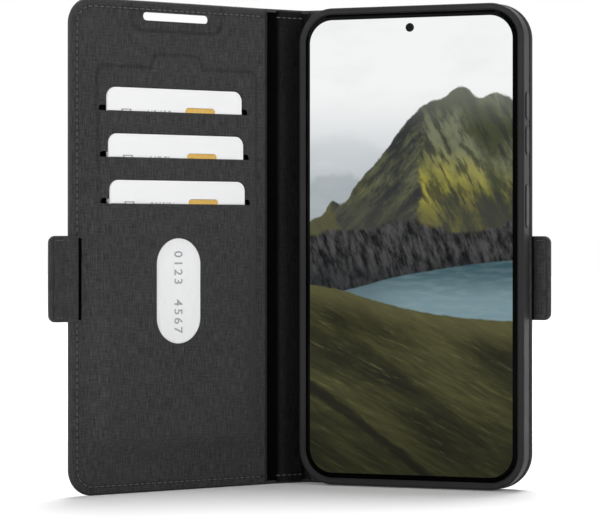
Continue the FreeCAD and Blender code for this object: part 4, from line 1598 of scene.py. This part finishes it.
@dataclass
class PocketLining:
    """The front cover's woven lining: one cloth with three card slits, a window and pressed lines."""

    case: Case
    covers: Covers
    middle: float = field(init=False)
    window_middle: float = field(init=False)
    slits: tuple[float, ...] = (127.9, 112.4, 96.9)
    levels: tuple[float, ...] = (1.7, 2.8, 3.75, 4.84)
    slit_half: float = 30.0
    card_half: float = 27.25
    fade_end: float = 34.5
    ceiling: float = 5.0
    foot: float = 18.2
    hem: float = 1.55
    thickness: float = 0.32

    def __post_init__(self) -> None:
        """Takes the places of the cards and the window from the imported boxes."""
        self.middle = self.across("card_top")
        self.window_middle = self.across("window_film")

    def across(self, node: str) -> float:
        """Gives how far a node's middle is from the front crease, in millimetres.

        Args:
            node: The node's name.

        Returns:
            The middle's u on the front leaf.
        """
        low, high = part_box(node)
        leaf = self.case.front
        x, y = (low.x + high.x) / 2 / MM - leaf.origin[0], (low.y + high.y) / 2 / MM - leaf.origin[1]
        return float(x * leaf.along[0] + y * leaf.along[1])

    def panel(self) -> Outline:
        """Gives the pressed outline of the card panel."""
        return Outline(6.6, 70.3, 17.0, 142.5, (2.5,) * 4)

    def arch(self) -> Outline:
        """Gives the low arch on top of the panel's outline."""
        return Outline(29.3, 48.6, 137.0, 147.0, (1.0, 1.0, 3.0, 3.0))

    def ground(self, u: Array, z: Array) -> Array:
        """Gives the depth of the cloth without its cards.

        Args:
            u: Places across.
            z: Places up.

        Returns:
            The depth at each place.
        """
        cover = self.covers.front_outline().distance(u, z)
        d = np.full(u.shape, self.levels[0])
        hem = edge_round(u - self.hem, 1.4, 0.24)
        d -= edge_round(-cover - 0.45, 0.7, 0.28) + hem + 0.75 * smooth(self.hem - u, 0.0, 0.22)
        d -= 0.14 * np.exp(-((cover + self.covers.seam_inset) ** 2) / 0.35)
        panel = np.minimum(self.panel().distance(u, z), self.arch().distance(u, z))
        d += 0.18 * smooth(-panel, -0.3, 0.4) - 0.10 * np.exp(-((panel - 0.7) ** 2) / 0.35)
        slot = self.covers.call_slot(2.1).distance(u, z)
        d -= 0.16 * np.exp(-(slot**2) / 0.12)
        d -= edge_round(self.covers.call_slot().distance(u, z), 0.6, 0.35)
        return d + 0.035 * ripple(u, z, 5, 26)

    def bulk(self, u: Array, z: Array, rise: Array) -> Array:
        """Gives how far the cards lift the cloth.

        Args:
            u: Places across.
            z: Places up.
            rise: The full lift at those heights.

        Returns:
            The lift, faded out beside and below the cards.
        """
        off = np.abs(u - self.middle)
        side = 1 - smooth(off, self.card_half, self.fade_end)
        foot = smooth(z, self.foot - 4.2, self.foot + 0.4)
        return rise * side * foot

    def depth(self, below_top: int) -> Depth:
        """Gives the depth of one band of the cloth.

        Args:
            below_top: The band's number, counted from the top.

        Returns:
            A function that gives the depth at places.
        """

        def found(u: Array, z: Array) -> Array:
            """Gives the depth at places on the band.

            Args:
                u: Places across.
                z: Places up.

            Returns:
                The depth at each place.
            """
            off = np.abs(u - self.middle)
            loose = smooth(off, self.slit_half - 0.6, self.slit_half + 1.0)
            rise = np.full(u.shape, self.levels[below_top] - self.levels[0])
            soft = np.zeros(u.shape)
            for k, height in enumerate(self.slits):
                soft += (self.levels[k + 1] - self.levels[k]) * smooth(height - z, -2.2, 2.2)
            rise = rise * (1 - loose) + soft * loose
            d = self.ground(u, z) + self.bulk(u, z, rise)
            lip = 0.0
            if below_top:
                up = self.slits[below_top - 1] - z
                lip = 0.10 * np.exp(-((up - 0.7) ** 2) / 0.5) * (1 - loose)
                d = d - 0.16 * (1 - smooth(up, 0.0, 0.5)) * (1 - loose)
            window = self.window().distance(u, z)
            press = 0.16 * np.exp(-((window - 0.5) ** 2) / 0.25) if below_top == 3 else 0.0
            roll = edge_round(window, 0.5, 0.22) if below_top == 3 else 0.0
            return np.minimum(d + lip + press - roll, self.ceiling)

        return found

    def window(self, grow: float = 0.0, radius: float = 8.84) -> Outline:
        """Gives the long round-ended window over the lowest card."""
        return pill(self.window_middle, 67.6, 17.7 + grow, 35.5 + grow, radius)

    def strap_slot(self) -> Outline:
        """Gives the narrow slot in the cloth that the front strap's root is tucked into."""
        return pill(77.0, 71.85, 1.5, 27.4, 0.7)

    def build(self) -> None:
        """Builds the four bands as one cloth, the film, the stitches and the slit edges."""
        c = self.case
        edge = self.covers.front_outline(0.45)
        ends = [self.middle - self.slit_half, self.middle + self.slit_half]
        middles = (ends[0] + 1.7, ends[1] - 1.7)
        relief = tuple(pill(u, z + 0.75, 3.4, 2.2, 1.08) for z in self.slits for u in middles)
        bounds = [c.height + 0.3, *self.slits, -0.3]
        hem = [1.32, 1.4, 1.48, self.hem, 1.75, 2.0, 2.4]
        us = np.concatenate([hem, np.arange(2.9, edge.high_u + 0.6, 0.6)])
        extra = {0: (self.covers.call_slot(),), 3: (self.window(), self.strap_slot())}
        places, faces, flats, total = [], [], [], 0
        for k in range(4):
            high, low = bounds[k], bounds[k + 1]
            zs = np.linspace(low, high, max(2, round((high - low) / 0.6) + 1))
            holes = relief + extra.get(k, ())
            band = Sheet(f"band_{k}", us, zs, self.depth(k), edge, holes, ((0.1, 1.1),))
            band.cut()
            parts = [(np.concatenate(band.places), np.concatenate(band.flats), band.faces)]
            if k < 3:
                parts.append(self.lip(k, us, low))
            for local, flat, quads in parts:
                places.append(local)
                flats.append(flat)
                faces += [[i + total for i in f] for f in quads]
                total += len(local)
        local = np.concatenate(places)
        piece = mesh_object("front_woven_lining", c.front.at(*local.T), faces, np.concatenate(flats), 55.0)
        LOG.info("lining welded %d corners", self.weld(piece))
        self.rim(piece)
        nodes = ("front_lining", "pocket_top", "pocket_middle", "pocket_bottom")
        c.add(piece, self.cloth(), Slot.LINING, nodes, "front")
        flat = ((c.front_edge - 1) * MM, (c.height - 1) * MM)
        self.voids()
        self.stitches()
        self.film()

    def stitches(self) -> None:
        """Sews the seam round the cover, but for the stretch that the front tab's root covers."""
        c, covers = self.case, self.covers
        whole = seam_path(covers.front_outline(), covers.seam_inset, covers.seam_pitch, 4.2)
        seam = [s for s in whole if not (s[0] > c.front_edge - 3.6 and 57.0 < s[1] < 86.7)]
        row = stitch_row("front_inner_stitches", leaf_marks(c.front, seam, 1.62, False))
        c.add(row, c.finishes.thread, Slot.THREAD, ("front_seam",), "front")

    def cloth(self) -> Finish:
        """Gives the lining's cloth, with painted shade along its pressed lines and darker along the seam.

        Returns:
            The finish.
        """
        slot = self.covers.call_slot(3.1)
        frame = (slot.low_u - 1.5, slot.high_u + 1.5, slot.low_z, self.case.height + 6.0)
        seam = self.covers.front_outline(self.covers.seam_inset)
        return replace(
            self.case.finishes.lining, name="woven_front_lining",
            pressed=(((self.panel().sides, 2.5), (self.arch().sides, 3.0)), ((frame, 4.0),)),
            seam=(seam.sides, seam.corners[1]),
        )

    @staticmethod
    def weld(piece: Piece) -> int:
        """Joins corners that lie on each other.

        Args:
            piece: The piece that they are in.

        Returns:
            How many corners went.
        """
        work = bmesh.new()
        work.from_mesh(piece.data)
        before = len(work.verts)
        bmesh.ops.remove_doubles(work, verts=work.verts, dist=WELD_GAP)
        work.to_mesh(piece.data)
        gone = before - len(work.verts)
        work.free()
        return gone

    def rim(self, piece: Piece) -> None:
        """Gives the cut edges of the holes and slits the cloth's thickness.

        Args:
            piece: The welded lining.
        """
        work = bmesh.new()
        work.from_mesh(piece.data)
        c = self.case
        inward = Vector((*c.front.inward, 0))
        origin = Vector((*c.front.origin, 0)) * MM
        along = Vector((*c.front.along, 0))
        chosen = []
        for edge in work.edges:
            if len(edge.link_faces) != 1:
                continue
            middle = (edge.verts[0].co + edge.verts[1].co) / 2
            u = (middle - origin).dot(along) / MM
            z = middle.z / MM
            depth = (middle - origin).dot(inward) / MM + HINGE_DEPTH
            if 3 < u < c.front_edge - 2 and 3 < z < c.height - 1.5 and depth > 1.2:
                chosen.append(edge)
        made = bmesh.ops.extrude_edge_only(work, edges=chosen)
        for v in made["geom"]:
            if isinstance(v, bmesh.types.BMVert):
                v.co -= inward * self.thickness * MM
        work.to_mesh(piece.data)
        work.free()

    def lip(self, band: int, us: Array, low: float) -> tuple[Array, Array, list]:
        """Gives the flap of cloth that runs on behind a slit, under the card.

        Args:
            band: The number of the band over the slit, from the top.
            us: The grid's places across.
            low: The slit's height.

        Returns:
            The flap's places, its flat places and its faces.
        """
        inside = us[np.abs(us - self.middle) < self.slit_half + 1.0]
        n = inside.size
        face = self.depth(band)(inside, np.full(n, low))
        rows = ((low, 0.02), (low - 0.8, 0.10), (low - 4.0, 0.12))
        places = np.concatenate([np.stack([inside, np.full(n, z), face - drop], -1) for z, drop in rows])
        faces = grid_faces(np.arange(3 * n).reshape(3, n)).tolist()
        return places, places[:, :2], faces

    def voids(self) -> None:
        """Builds near-black sheets of painted shade that show through the ends of the slits and the strap
        slot.
        """
        c = self.case
        left, right = self.middle - self.slit_half - 1.5, self.middle + self.slit_half + 1.6
        spans = [(left, right, z - 6.5, z + 4.1) for z in self.slits]
        spans.append((69.0, 80.2, 56.5, 87.2))  # behind the strap slot

        def depth(u: Array, z: Array) -> Array:
            """Gives the painted-shade sheet's depth, close behind the slit."""
            return 1.44 + 0.02 * ripple(u, z, 40, 8)

        for k, (left, right, low, high) in enumerate(spans):
            us, zs = np.arange(left, right, 0.9), np.arange(low, high, 0.8)
            # Each sheet is near-black painted shade.
            piece = Sheet(f"slit_{k + 1}_painted_shade_sheet", us, zs, depth).build(c.front.at)
            c.add(piece, c.finishes.slit_painted_shade, Slot.POCKET, (), "front")

    def film(self) -> None:
        """Builds the clear film behind the card window, with its welded border."""
        c = self.case
        outline = self.window(3.0, 10.3)

        def depth(u: Array, z: Array) -> Array:
            """Gives the film's face, with a very slight bow."""
            bow = 0.03 * np.cos((u - self.window_middle) / 8.0)
            return 4.6 + bow + 0.008 * ripple(u, z, 21, 12)

        us = np.arange(outline.low_u - 1, outline.high_u + 1, 0.9)
        zs = np.arange(outline.low_z - 1, outline.high_z + 1, 0.9)
        piece = Sheet("card_window_film", us, zs, depth, outline, (), ((0.0, 4.55),)).build(c.front.at)
        c.add(piece, c.finishes.film, Slot.FILM, ("window_film",), "front")


@dataclass
class BackLining:
    """The cloth between the back cover and the tray, seen as a thin line round it."""

    case: Case
    covers: Covers

    def build(self) -> None:
        """Builds the cloth of the back cover's inner side, in place of its lining and seam nodes."""
        c = self.case
        edge, window = self.covers.back_outline(0.45), self.covers.camera_window(0.2)

        def depth(u: Array, z: Array) -> Array:
            """Gives the cloth's face, rounded down at its edge and at the window."""
            fall = edge_round(-edge.distance(u, z), 0.6, 0.3)
            return 1.69 - fall - edge_round(window.distance(u, z), 0.4, 0.2)

        us, zs = np.arange(1.6, edge.high_u + 1, 0.8), np.arange(-0.5, c.height + 1, 0.8)
        cloth = Sheet("back_woven_lining", us, zs, depth, edge, (window,), ((0.1, 1.2),), ((0.0, 1.2),))
        piece = cloth.build(c.back.at)
        c.add(piece, c.finishes.lining, Slot.LINING, ("back_lining", "back_seam"), "back")


@dataclass
class Tab:
    """One soft magnetic tab: a padded strap end that is sewn to a cover's edge and folds over it."""

    case: Case
    name: str
    leaf: Leaf
    axis: float
    parent: str
    stations: tuple[tuple[float, float, float], ...]
    low: float = 57.6
    high: float = 86.1
    corner: float = 2.4

    def section(self, bottom: float, top: float, inset: float) -> tuple[Array, Array]:
        """Gives one rounded cross-section.

        Args:
            bottom: The outer face's depth.
            top: The inner face's depth.
            inset: How much narrower it is at each end.

        Returns:
            The heights and the depths of its corners.
        """
        thick = top - bottom
        radius = min(thick / 2 * 0.98, 0.75)
        low, high = self.low + inset, self.high - inset
        zs, ds = [], []
        for mid_z, mid_d, start in (
            (high - radius, top - radius, 0.0),
            (high - radius, bottom + radius, -0.5),
            (low + radius, bottom + radius, -1.0),
            (low + radius, top - radius, -1.5),
        ):
            for k in range(6):
                a = (start + 0.5 - k * 0.1) * math.pi
                zs.append(mid_z + radius * math.cos(a))
                ds.append(mid_d + radius * math.sin(a))
            if start in (-0.5, -1.5):
                far = low + radius if start == -0.5 else high - radius
                for t in np.linspace(0, 1, 15)[1:-1]:
                    zs.append(mid_z + (far - mid_z) * t)
                    ds.append(bottom if start == -0.5 else top)
        return np.array(zs), np.array(ds)

    def build(self) -> None:
        """Builds the padded strap, with the seam groove near its tip, and its small stitches."""
        c = self.case
        tip = self.stations[-1][0]
        places, faces, flats = [], [], []
        for count, (u, bottom, top) in enumerate(self.stations):
            reach = u - (tip - self.corner)
            inset = self.corner - math.sqrt(max(0.0, self.corner**2 - reach**2)) if reach > 0 else 0.0
            zs, ds = self.section(bottom, top, inset * 0.94)
            middle = (self.low + self.high) / 2
            crown = 0.10 * np.maximum(0, 1 - ((zs - middle) / 13) ** 2) * (1 if top - bottom > 1.5 else 0)
            us, n = np.full(zs.size, u), zs.size
            ds = ds + np.where(ds > (top + bottom) / 2, crown, -crown) + 0.03 * ripple(us, zs, 31, 6)
            places.append(self.leaf.at(us, zs, ds))
            flats.append(np.stack([us + ds, zs], -1))
            if count:
                faces += ring_faces((count - 1) * n, n)
        faces.append(list(range(n)))
        faces.append([count * n + k for k in reversed(range(n))])
        piece = mesh_object(f"{self.name}_strap", np.concatenate(places), faces, np.concatenate(flats), 60.0)
        nodes = (f"{self.name}_outer", f"{self.name}_inner")
        if self.name == "front_tab":
            cloth, nodes = c.finishes.tab_cloth, nodes + ("front_tab_base",)
        else:
            cloth = c.finishes.rear_tab_cloth
        c.add(piece, cloth, Slot.LEATHER, nodes)
        start, end = self.leaf.point(self.axis - 0.9), self.leaf.point(self.axis + 0.9)
        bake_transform(piece)
        self.stitches(tip)

    def stitches(self, tip: float) -> None:
        """Sews a row along each short edge of the head.

        Args:
            tip: The u of the tab's free end.
        """
        c = self.case
        head = self.axis + 1.9
        seam = []
        for z in (self.low + 1.5, self.high - 1.5):
            seam += [(u, z, 1.0, 0.0) for u in np.arange(head, tip - 2.4, 1.4)]
        row = stitch_row(f"{self.name}_stitches", leaf_marks(self.leaf, seam, 1.72, False), 1.15, 0.3)
        c.add(row, c.finishes.thread, Slot.THREAD, (f"{self.name}_seam",), self.name)


CAMERA_RING = ((5.1, -0.1), (5.1, 0.12), (4.95, 0.22), (4.3, 0.22), (4.15, 0.1), (4.1, 0.02))
CAMERA_GLASS = ((4.12, 0.03), (3.0, 0.05), (2.9, 0.02), (2.1, 0.03), (2.0, 0.06), (1.2, 0.1), (0.3, 0.12))


@dataclass
class Phone:
    """The phone: its lit screen under glass, the small front camera and the lenses on its back."""

    case: Case
    border: float = 1.5
    corner: float = 9.6
    hole_radius: float = 1.5
    hole_drop: float = 5.0
    lens_radius: float = 5.2
    lens_pitch: float = 12.6

    def build(self) -> None:
        """Builds the new pieces and dresses the phone's own nodes."""
        self.screen()
        self.front_camera()
        self.back_lenses()
        nodes, f = self.case.frame["nodes"], self.case.finishes
        for node, finish in (
            ("frame", f.metal), ("core", f.core), ("back_glass", f.back_glass), ("camera_plate", f.plate),
            ("camera_lenses", f.lens), ("volume_key", f.metal), ("power_key", f.metal),
        ):
            f.dress(nodes[f"phone_{node}"], finish)

    def screen(self) -> None:
        """Builds the cover glass with its softened edge, lit from behind."""
        low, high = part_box("phone_glass")
        x0, x1, z0, z1 = low.x / MM, high.x / MM, low.z / MM, high.z / MM
        outline = Outline(x0, x1, z0, z1, (self.corner,) * 4)
        near, far = low.y / MM, high.y / MM

        def depth(u: Array, z: Array) -> Array:
            """Gives the glass's face, rounded over at its edge."""
            return near + edge_round(-outline.distance(u, z), 0.5, 0.25)

        def at(u: Array, z: Array, d: Array) -> Array:
            """Gives places in metres."""
            return np.stack([u, d, z], -1) * MM

        us, zs = np.arange(x0 - 0.5, x1 + 1, 1.2), np.arange(z0 - 0.5, z1 + 1, 1.2)
        sheet = Sheet("phone_lit_glass", us, zs, depth, outline, (), ((0.0, far), (3.0, far)))
        piece = sheet.build(at)
        b = self.border
        size = (x1 - x0 - 2 * b, z1 - z0 - 2 * b - 0.4)
        picture = LitScreen("lit_screen", x0 + b, z0 + b + 0.2, *size, self.corner - b)
        self.case.add(piece, picture, Slot.GLASS, ("phone_glass", "phone_display"), "phone")

    def revolve(self, name: str, middle: Vector, profile: Pairs, facing: int) -> Piece:
        """Turns a profile round an axis that runs through the phone.

        Args:
            name: The piece's name.
            middle: Where the axis crosses the surface, in metres.
            profile: Radius and height pairs in millimetres, from the outside in.
            facing: -1 for the screen's side and 1 for the back.

        Returns:
            The new piece.
        """
        sides = 48
        places, faces = [], []
        for radius, height in profile:
            for k in range(sides):
                a = 2 * math.pi * k / sides
                x, z = middle.x + radius * MM * math.cos(a), middle.z + radius * MM * math.sin(a)
                places.append((x, middle.y + facing * height * MM, z))
        for i in range(len(profile) - 1):
            faces += ring_faces(i * sides, sides)
        faces.append(tuple((len(profile) - 1) * sides + k for k in range(sides)))
        return mesh_object(name, np.array(places), faces, None, 35.0)

    def front_camera(self) -> None:
        """Builds the small round camera in the top of the screen."""
        low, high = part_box("phone_glass")
        r = self.hole_radius
        middle = Vector(((low.x + high.x) / 2, low.y, high.z - self.hole_drop * MM))
        rings = ((1.0, 0.0), (0.99, 0.02), (0.62, 0.03), (0.55, 0.012), (0.3, 0.035), (0.08, 0.045))
        profile = tuple((r * share, height) for share, height in rings)
        piece = self.revolve("phone_front_camera", middle, profile, -1)
        self.case.add(piece, self.case.finishes.camera_eye, Slot.LENS, (), "phone")

    def back_lenses(self) -> None:
        """Builds a stepped ring and a domed glass for each of the three back cameras."""
        c = self.case
        low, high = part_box("phone_camera_lenses")
        plate_low, plate_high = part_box("phone_camera_plate")
        middle_z = (plate_low.z + plate_high.z) / 2
        for k, offset in enumerate((-self.lens_pitch, 0.0, self.lens_pitch)):
            middle = Vector((high.x - self.lens_radius * MM, high.y, middle_z + offset * MM))
            ring = self.revolve(f"camera_ring_{k + 1}", middle, CAMERA_RING, 1)
            c.add(ring, c.finishes.plate, Slot.LENS, (), "phone")
            glass = self.revolve(f"camera_glass_{k + 1}", middle, CAMERA_GLASS, 1)
            c.add(glass, c.finishes.lens, Slot.LENS, (), "phone")


@dataclass
class Cards:
    """The three cards and what shows on them."""

    case: Case
    number: str = "0123  4567"
    digit_size: float = 4.5
    digit_middle: tuple[float, float] = (40.3, 67.2)

    def build(self) -> None:
        """Dresses the cards and their contacts, and raises plain digits on the lowest card."""
        c = self.case
        nodes = c.frame["nodes"]
        for name in ("card_top", "card_middle", "card_bottom"):
            low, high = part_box(name)
            finish = CardPlastic(f"{name}_plastic", top=high.z / MM, middle=(low.x + high.x) / 2 / MM)
            c.finishes.dress(nodes[name], finish)
            low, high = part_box(f"{name}_chip")
            middle = ((low.x + high.x) / 2 / MM, (low.z + high.z) / 2 / MM)
            c.finishes.dress(nodes[f"{name}_chip"], GoldContact(f"{name}_contact", middle))
        self.digits()

    def digits(self) -> None:
        """Lays plain counting digits up the lowest card, where the window shows them."""
        c = self.case
        words = bpy.data.curves.new("card_digits", "FONT")
        words.body, words.size, words.space_character = self.number, self.digit_size * MM, 1.36
        words.offset, words.extrude = 0.07 * MM, 0.004 * MM
        words.align_x, words.align_y = "CENTER", "CENTER"
        shaped = bpy.data.objects.new("card_digits_text", words)
        bpy.context.scene.collection.objects.link(shaped)
        bpy.context.view_layer.update()
        mesh = bpy.data.meshes.new_from_object(shaped.evaluated_get(bpy.context.evaluated_depsgraph_get()))
        bpy.data.objects.remove(shaped)
        co = np.array([v.co for v in mesh.vertices]) / MM
        u, z = self.digit_middle
        places = c.front.at(u - co[:, 1], z - co[:, 0], 4.53 + co[:, 2])
        faces = [list(reversed(p.vertices)) for p in mesh.polygons]
        piece = mesh_object("card_raised_digits", places, faces, None, 30.0)
        c.add(piece, c.finishes.digit_print, Slot.CARD, (), "card_bottom")


@dataclass
class Hardware:
    """The moulded tray, its button covers and the hidden boards, tape and magnets."""

    case: Case

    def build(self) -> None:
        """Dresses the nodes that keep their own shape."""
        nodes, f = self.case.frame["nodes"], self.case.finishes
        for node, finish in (
            ("phone_tray", f.rubber), ("volume_up_cover", f.button), ("volume_down_cover", f.button),
            ("power_cover", f.button), ("back_board", f.board), ("front_board", f.board),
            ("spine_stiffener", f.board), ("glue_pad", f.glue),
            ("front_tab_magnet", f.magnet), ("rear_tab_magnet", f.magnet),
        ):
            f.dress(nodes[node], finish)


@dataclass
class Studio:
    """The pale floor, the soft lights and the camera."""

    azimuth: float = 20.65
    focal: float = 150.7
    distance: float = 870.9
    aside: float = 20.4
    eye_height: float = 82.6
    shift: tuple[float, float] = (0.1, -0.0326)
    floor_reach: float = 6.0

    def build(self) -> None:
        """Builds the whole setting."""
        self.camera()
        self.floor()
        self.world()
        self.lamp("key_softbox", (-0.45, -1.0, 0.42), (0.0, 0.0, 0.1), 0.7, 5.2)
        self.lamp("right_softbox", (1.05, -0.36, 0.4), (0.0, 0.0, 0.08), 0.5, 3.4)
        self.lamp("top_softbox", (0.0, 0.2, 1.2), (0.0, 0.0, 0.0), 0.9, 2.5)
        self.lamp("rear_softbox", (0.0, 0.62, 1.35), (0.0, 0.0, 0.03), 1.0, 24.0)
        bpy.context.scene.view_settings.view_transform = "Standard"

    def camera(self) -> None:
        """Places the camera level with the middle of the case, looking past the tray's left edge."""
        low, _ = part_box("phone_tray")
        a = math.radians(self.azimuth)
        right, forward = Vector((math.cos(a), math.sin(a), 0)), Vector((-math.sin(a), math.cos(a), 0))
        spot = Vector((low.x, low.y, 0)) - right * self.aside * MM - forward * self.distance * MM
        data = bpy.data.cameras.new("studio_camera")
        data.lens, data.sensor_width = self.focal, 36.0
        data.shift_x, data.shift_y = self.shift
        data.clip_start, data.clip_end = 0.05, 50.0
        made = bpy.data.objects.new("studio_camera", data)
        made.location = (spot.x, spot.y, self.eye_height * MM)
        made.rotation_euler = (math.pi / 2, 0, a)
        bpy.context.scene.collection.objects.link(made)
        bpy.context.scene.camera = made

    def floor(self) -> None:
        """Lays the pale floor, which stays white to the eye and keeps the shadow."""
        corners = np.array([(-1, -1, 0), (1, -1, 0), (1, 1, 0), (-1, 1, 0)]) * self.floor_reach
        made = mesh_object("studio_floor", corners, [(0, 1, 2, 3)])
        made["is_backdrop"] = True
        paint = bpy.data.materials.new("pale_floor")
        paint.use_nodes = True
        g = Surface(paint.node_tree)
        grain = g.noise(g.object_place(), 0.02, 2.0)
        g.lay("Base Color", g.mix(grain, (0.96, 0.96, 0.96, 1), (0.98, 0.98, 0.98, 1)))
        g.set(Roughness=0.9, Specular_IOR_Level=0.1, Emission_Color=(1, 1, 1, 1))
        seen = g.seen()
        run = g.node("ShaderNodeVectorMath", {0: g.object_place()}, operation="LENGTH").outputs["Value"]
        glow = g.plus(0.06, g.times(g.step(run, 180.0, 600.0), 0.94))
        g.lay("Emission Strength", g.times(seen, glow))
        made.data.materials.append(paint)

    def world(self) -> None:
        """Lights the set evenly, and shows white to the eye and to reflections."""
        world = bpy.data.worlds.new("studio_air")
        bpy.context.scene.world = world
        world.use_nodes = True
        g = Surface(world.node_tree, "Background")
        g.lay("Strength", g.plus(0.12, g.times(g.seen(), 0.88)))
        g.set(Color=(1, 1, 1, 1))

    def lamp(
        self, name: str, spot: Sequence[float], target: Sequence[float], size: float, watts: float
    ) -> None:
        """Hangs one square softbox that faces a point.

        Args:
            name: The lamp's name.
            spot: Where it hangs.
            target: What it faces.
            size: Its side in metres.
            watts: Its power.
        """
        data = bpy.data.lights.new(name, "AREA")
        data.size, data.energy = size, watts
        made = bpy.data.objects.new(name, data)
        made.location = spot
        made.rotation_euler = (Vector(target) - Vector(spot)).to_track_quat("-Z", "Y").to_euler()
        bpy.context.scene.collection.objects.link(made)


# Each station of a tab: how far out it is, and the depths of its outer and inner faces.
FRONT_TAB_STATIONS = (
    (77.8, 1.62, 2.02), (77.95, 1.62, 2.26), (78.4, 1.66, 2.38), (79.6, 1.68, 2.4), (80.6, 1.68, 2.36),
    (81.1, 1.62, 2.26), (81.5, 0.95, 2.05), (81.9, 0.25, 1.72), (82.3, -0.1, 1.5), (82.8, -0.24, 1.5),
    (83.3, -0.3, 1.62), (84.0, -0.32, 1.7), (85.0, -0.33, 1.72), (86.2, -0.33, 1.72), (86.75, -0.33, 1.71),
    (86.95, -0.33, 1.42), (87.15, -0.32, 1.68), (87.8, -0.28, 1.64), (88.1, -0.15, 1.5), (88.26, 0.1, 1.25),
    (88.3, 0.4, 0.95),
)
REAR_TAB_STATIONS = (
    (-1.3, 0.62, 1.3), (-0.9, 0.5, 1.32), (-0.3, 0.2, 1.34), (0.2, -0.08, 1.38), (0.7, -0.22, 1.46),
    (1.2, -0.3, 1.6), (1.9, -0.32, 1.7), (2.9, -0.33, 1.72), (4.1, -0.33, 1.72), (4.65, -0.33, 1.71),
    (4.85, -0.33, 1.42), (5.05, -0.32, 1.68), (5.7, -0.28, 1.64), (6.0, -0.15, 1.5), (6.16, 0.1, 1.25),
    (6.2, 0.4, 0.95),
)


def main() -> None:
    """Builds the setting and then each sub-assembly in order."""
    logging.basicConfig(level=logging.INFO, format="%(name)s %(message)s")
    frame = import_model()
    Studio().build()
    case = Case(frame, Finishes(Effects()))
    covers = Covers(case)
    covers.build()
    Spine(case).build()
    PocketLining(case, covers).build()
    BackLining(case, covers).build()
    Tab(case, "front_tab", case.front, case.front_tab_axis, "front", FRONT_TAB_STATIONS).build()
    Tab(case, "rear_tab", case.rear_tab, 0.0, "back", REAR_TAB_STATIONS).build()
    Phone(case).build()
    Cards(case).build()
    Hardware(case).build()


if __name__ == "__main__":
    main()
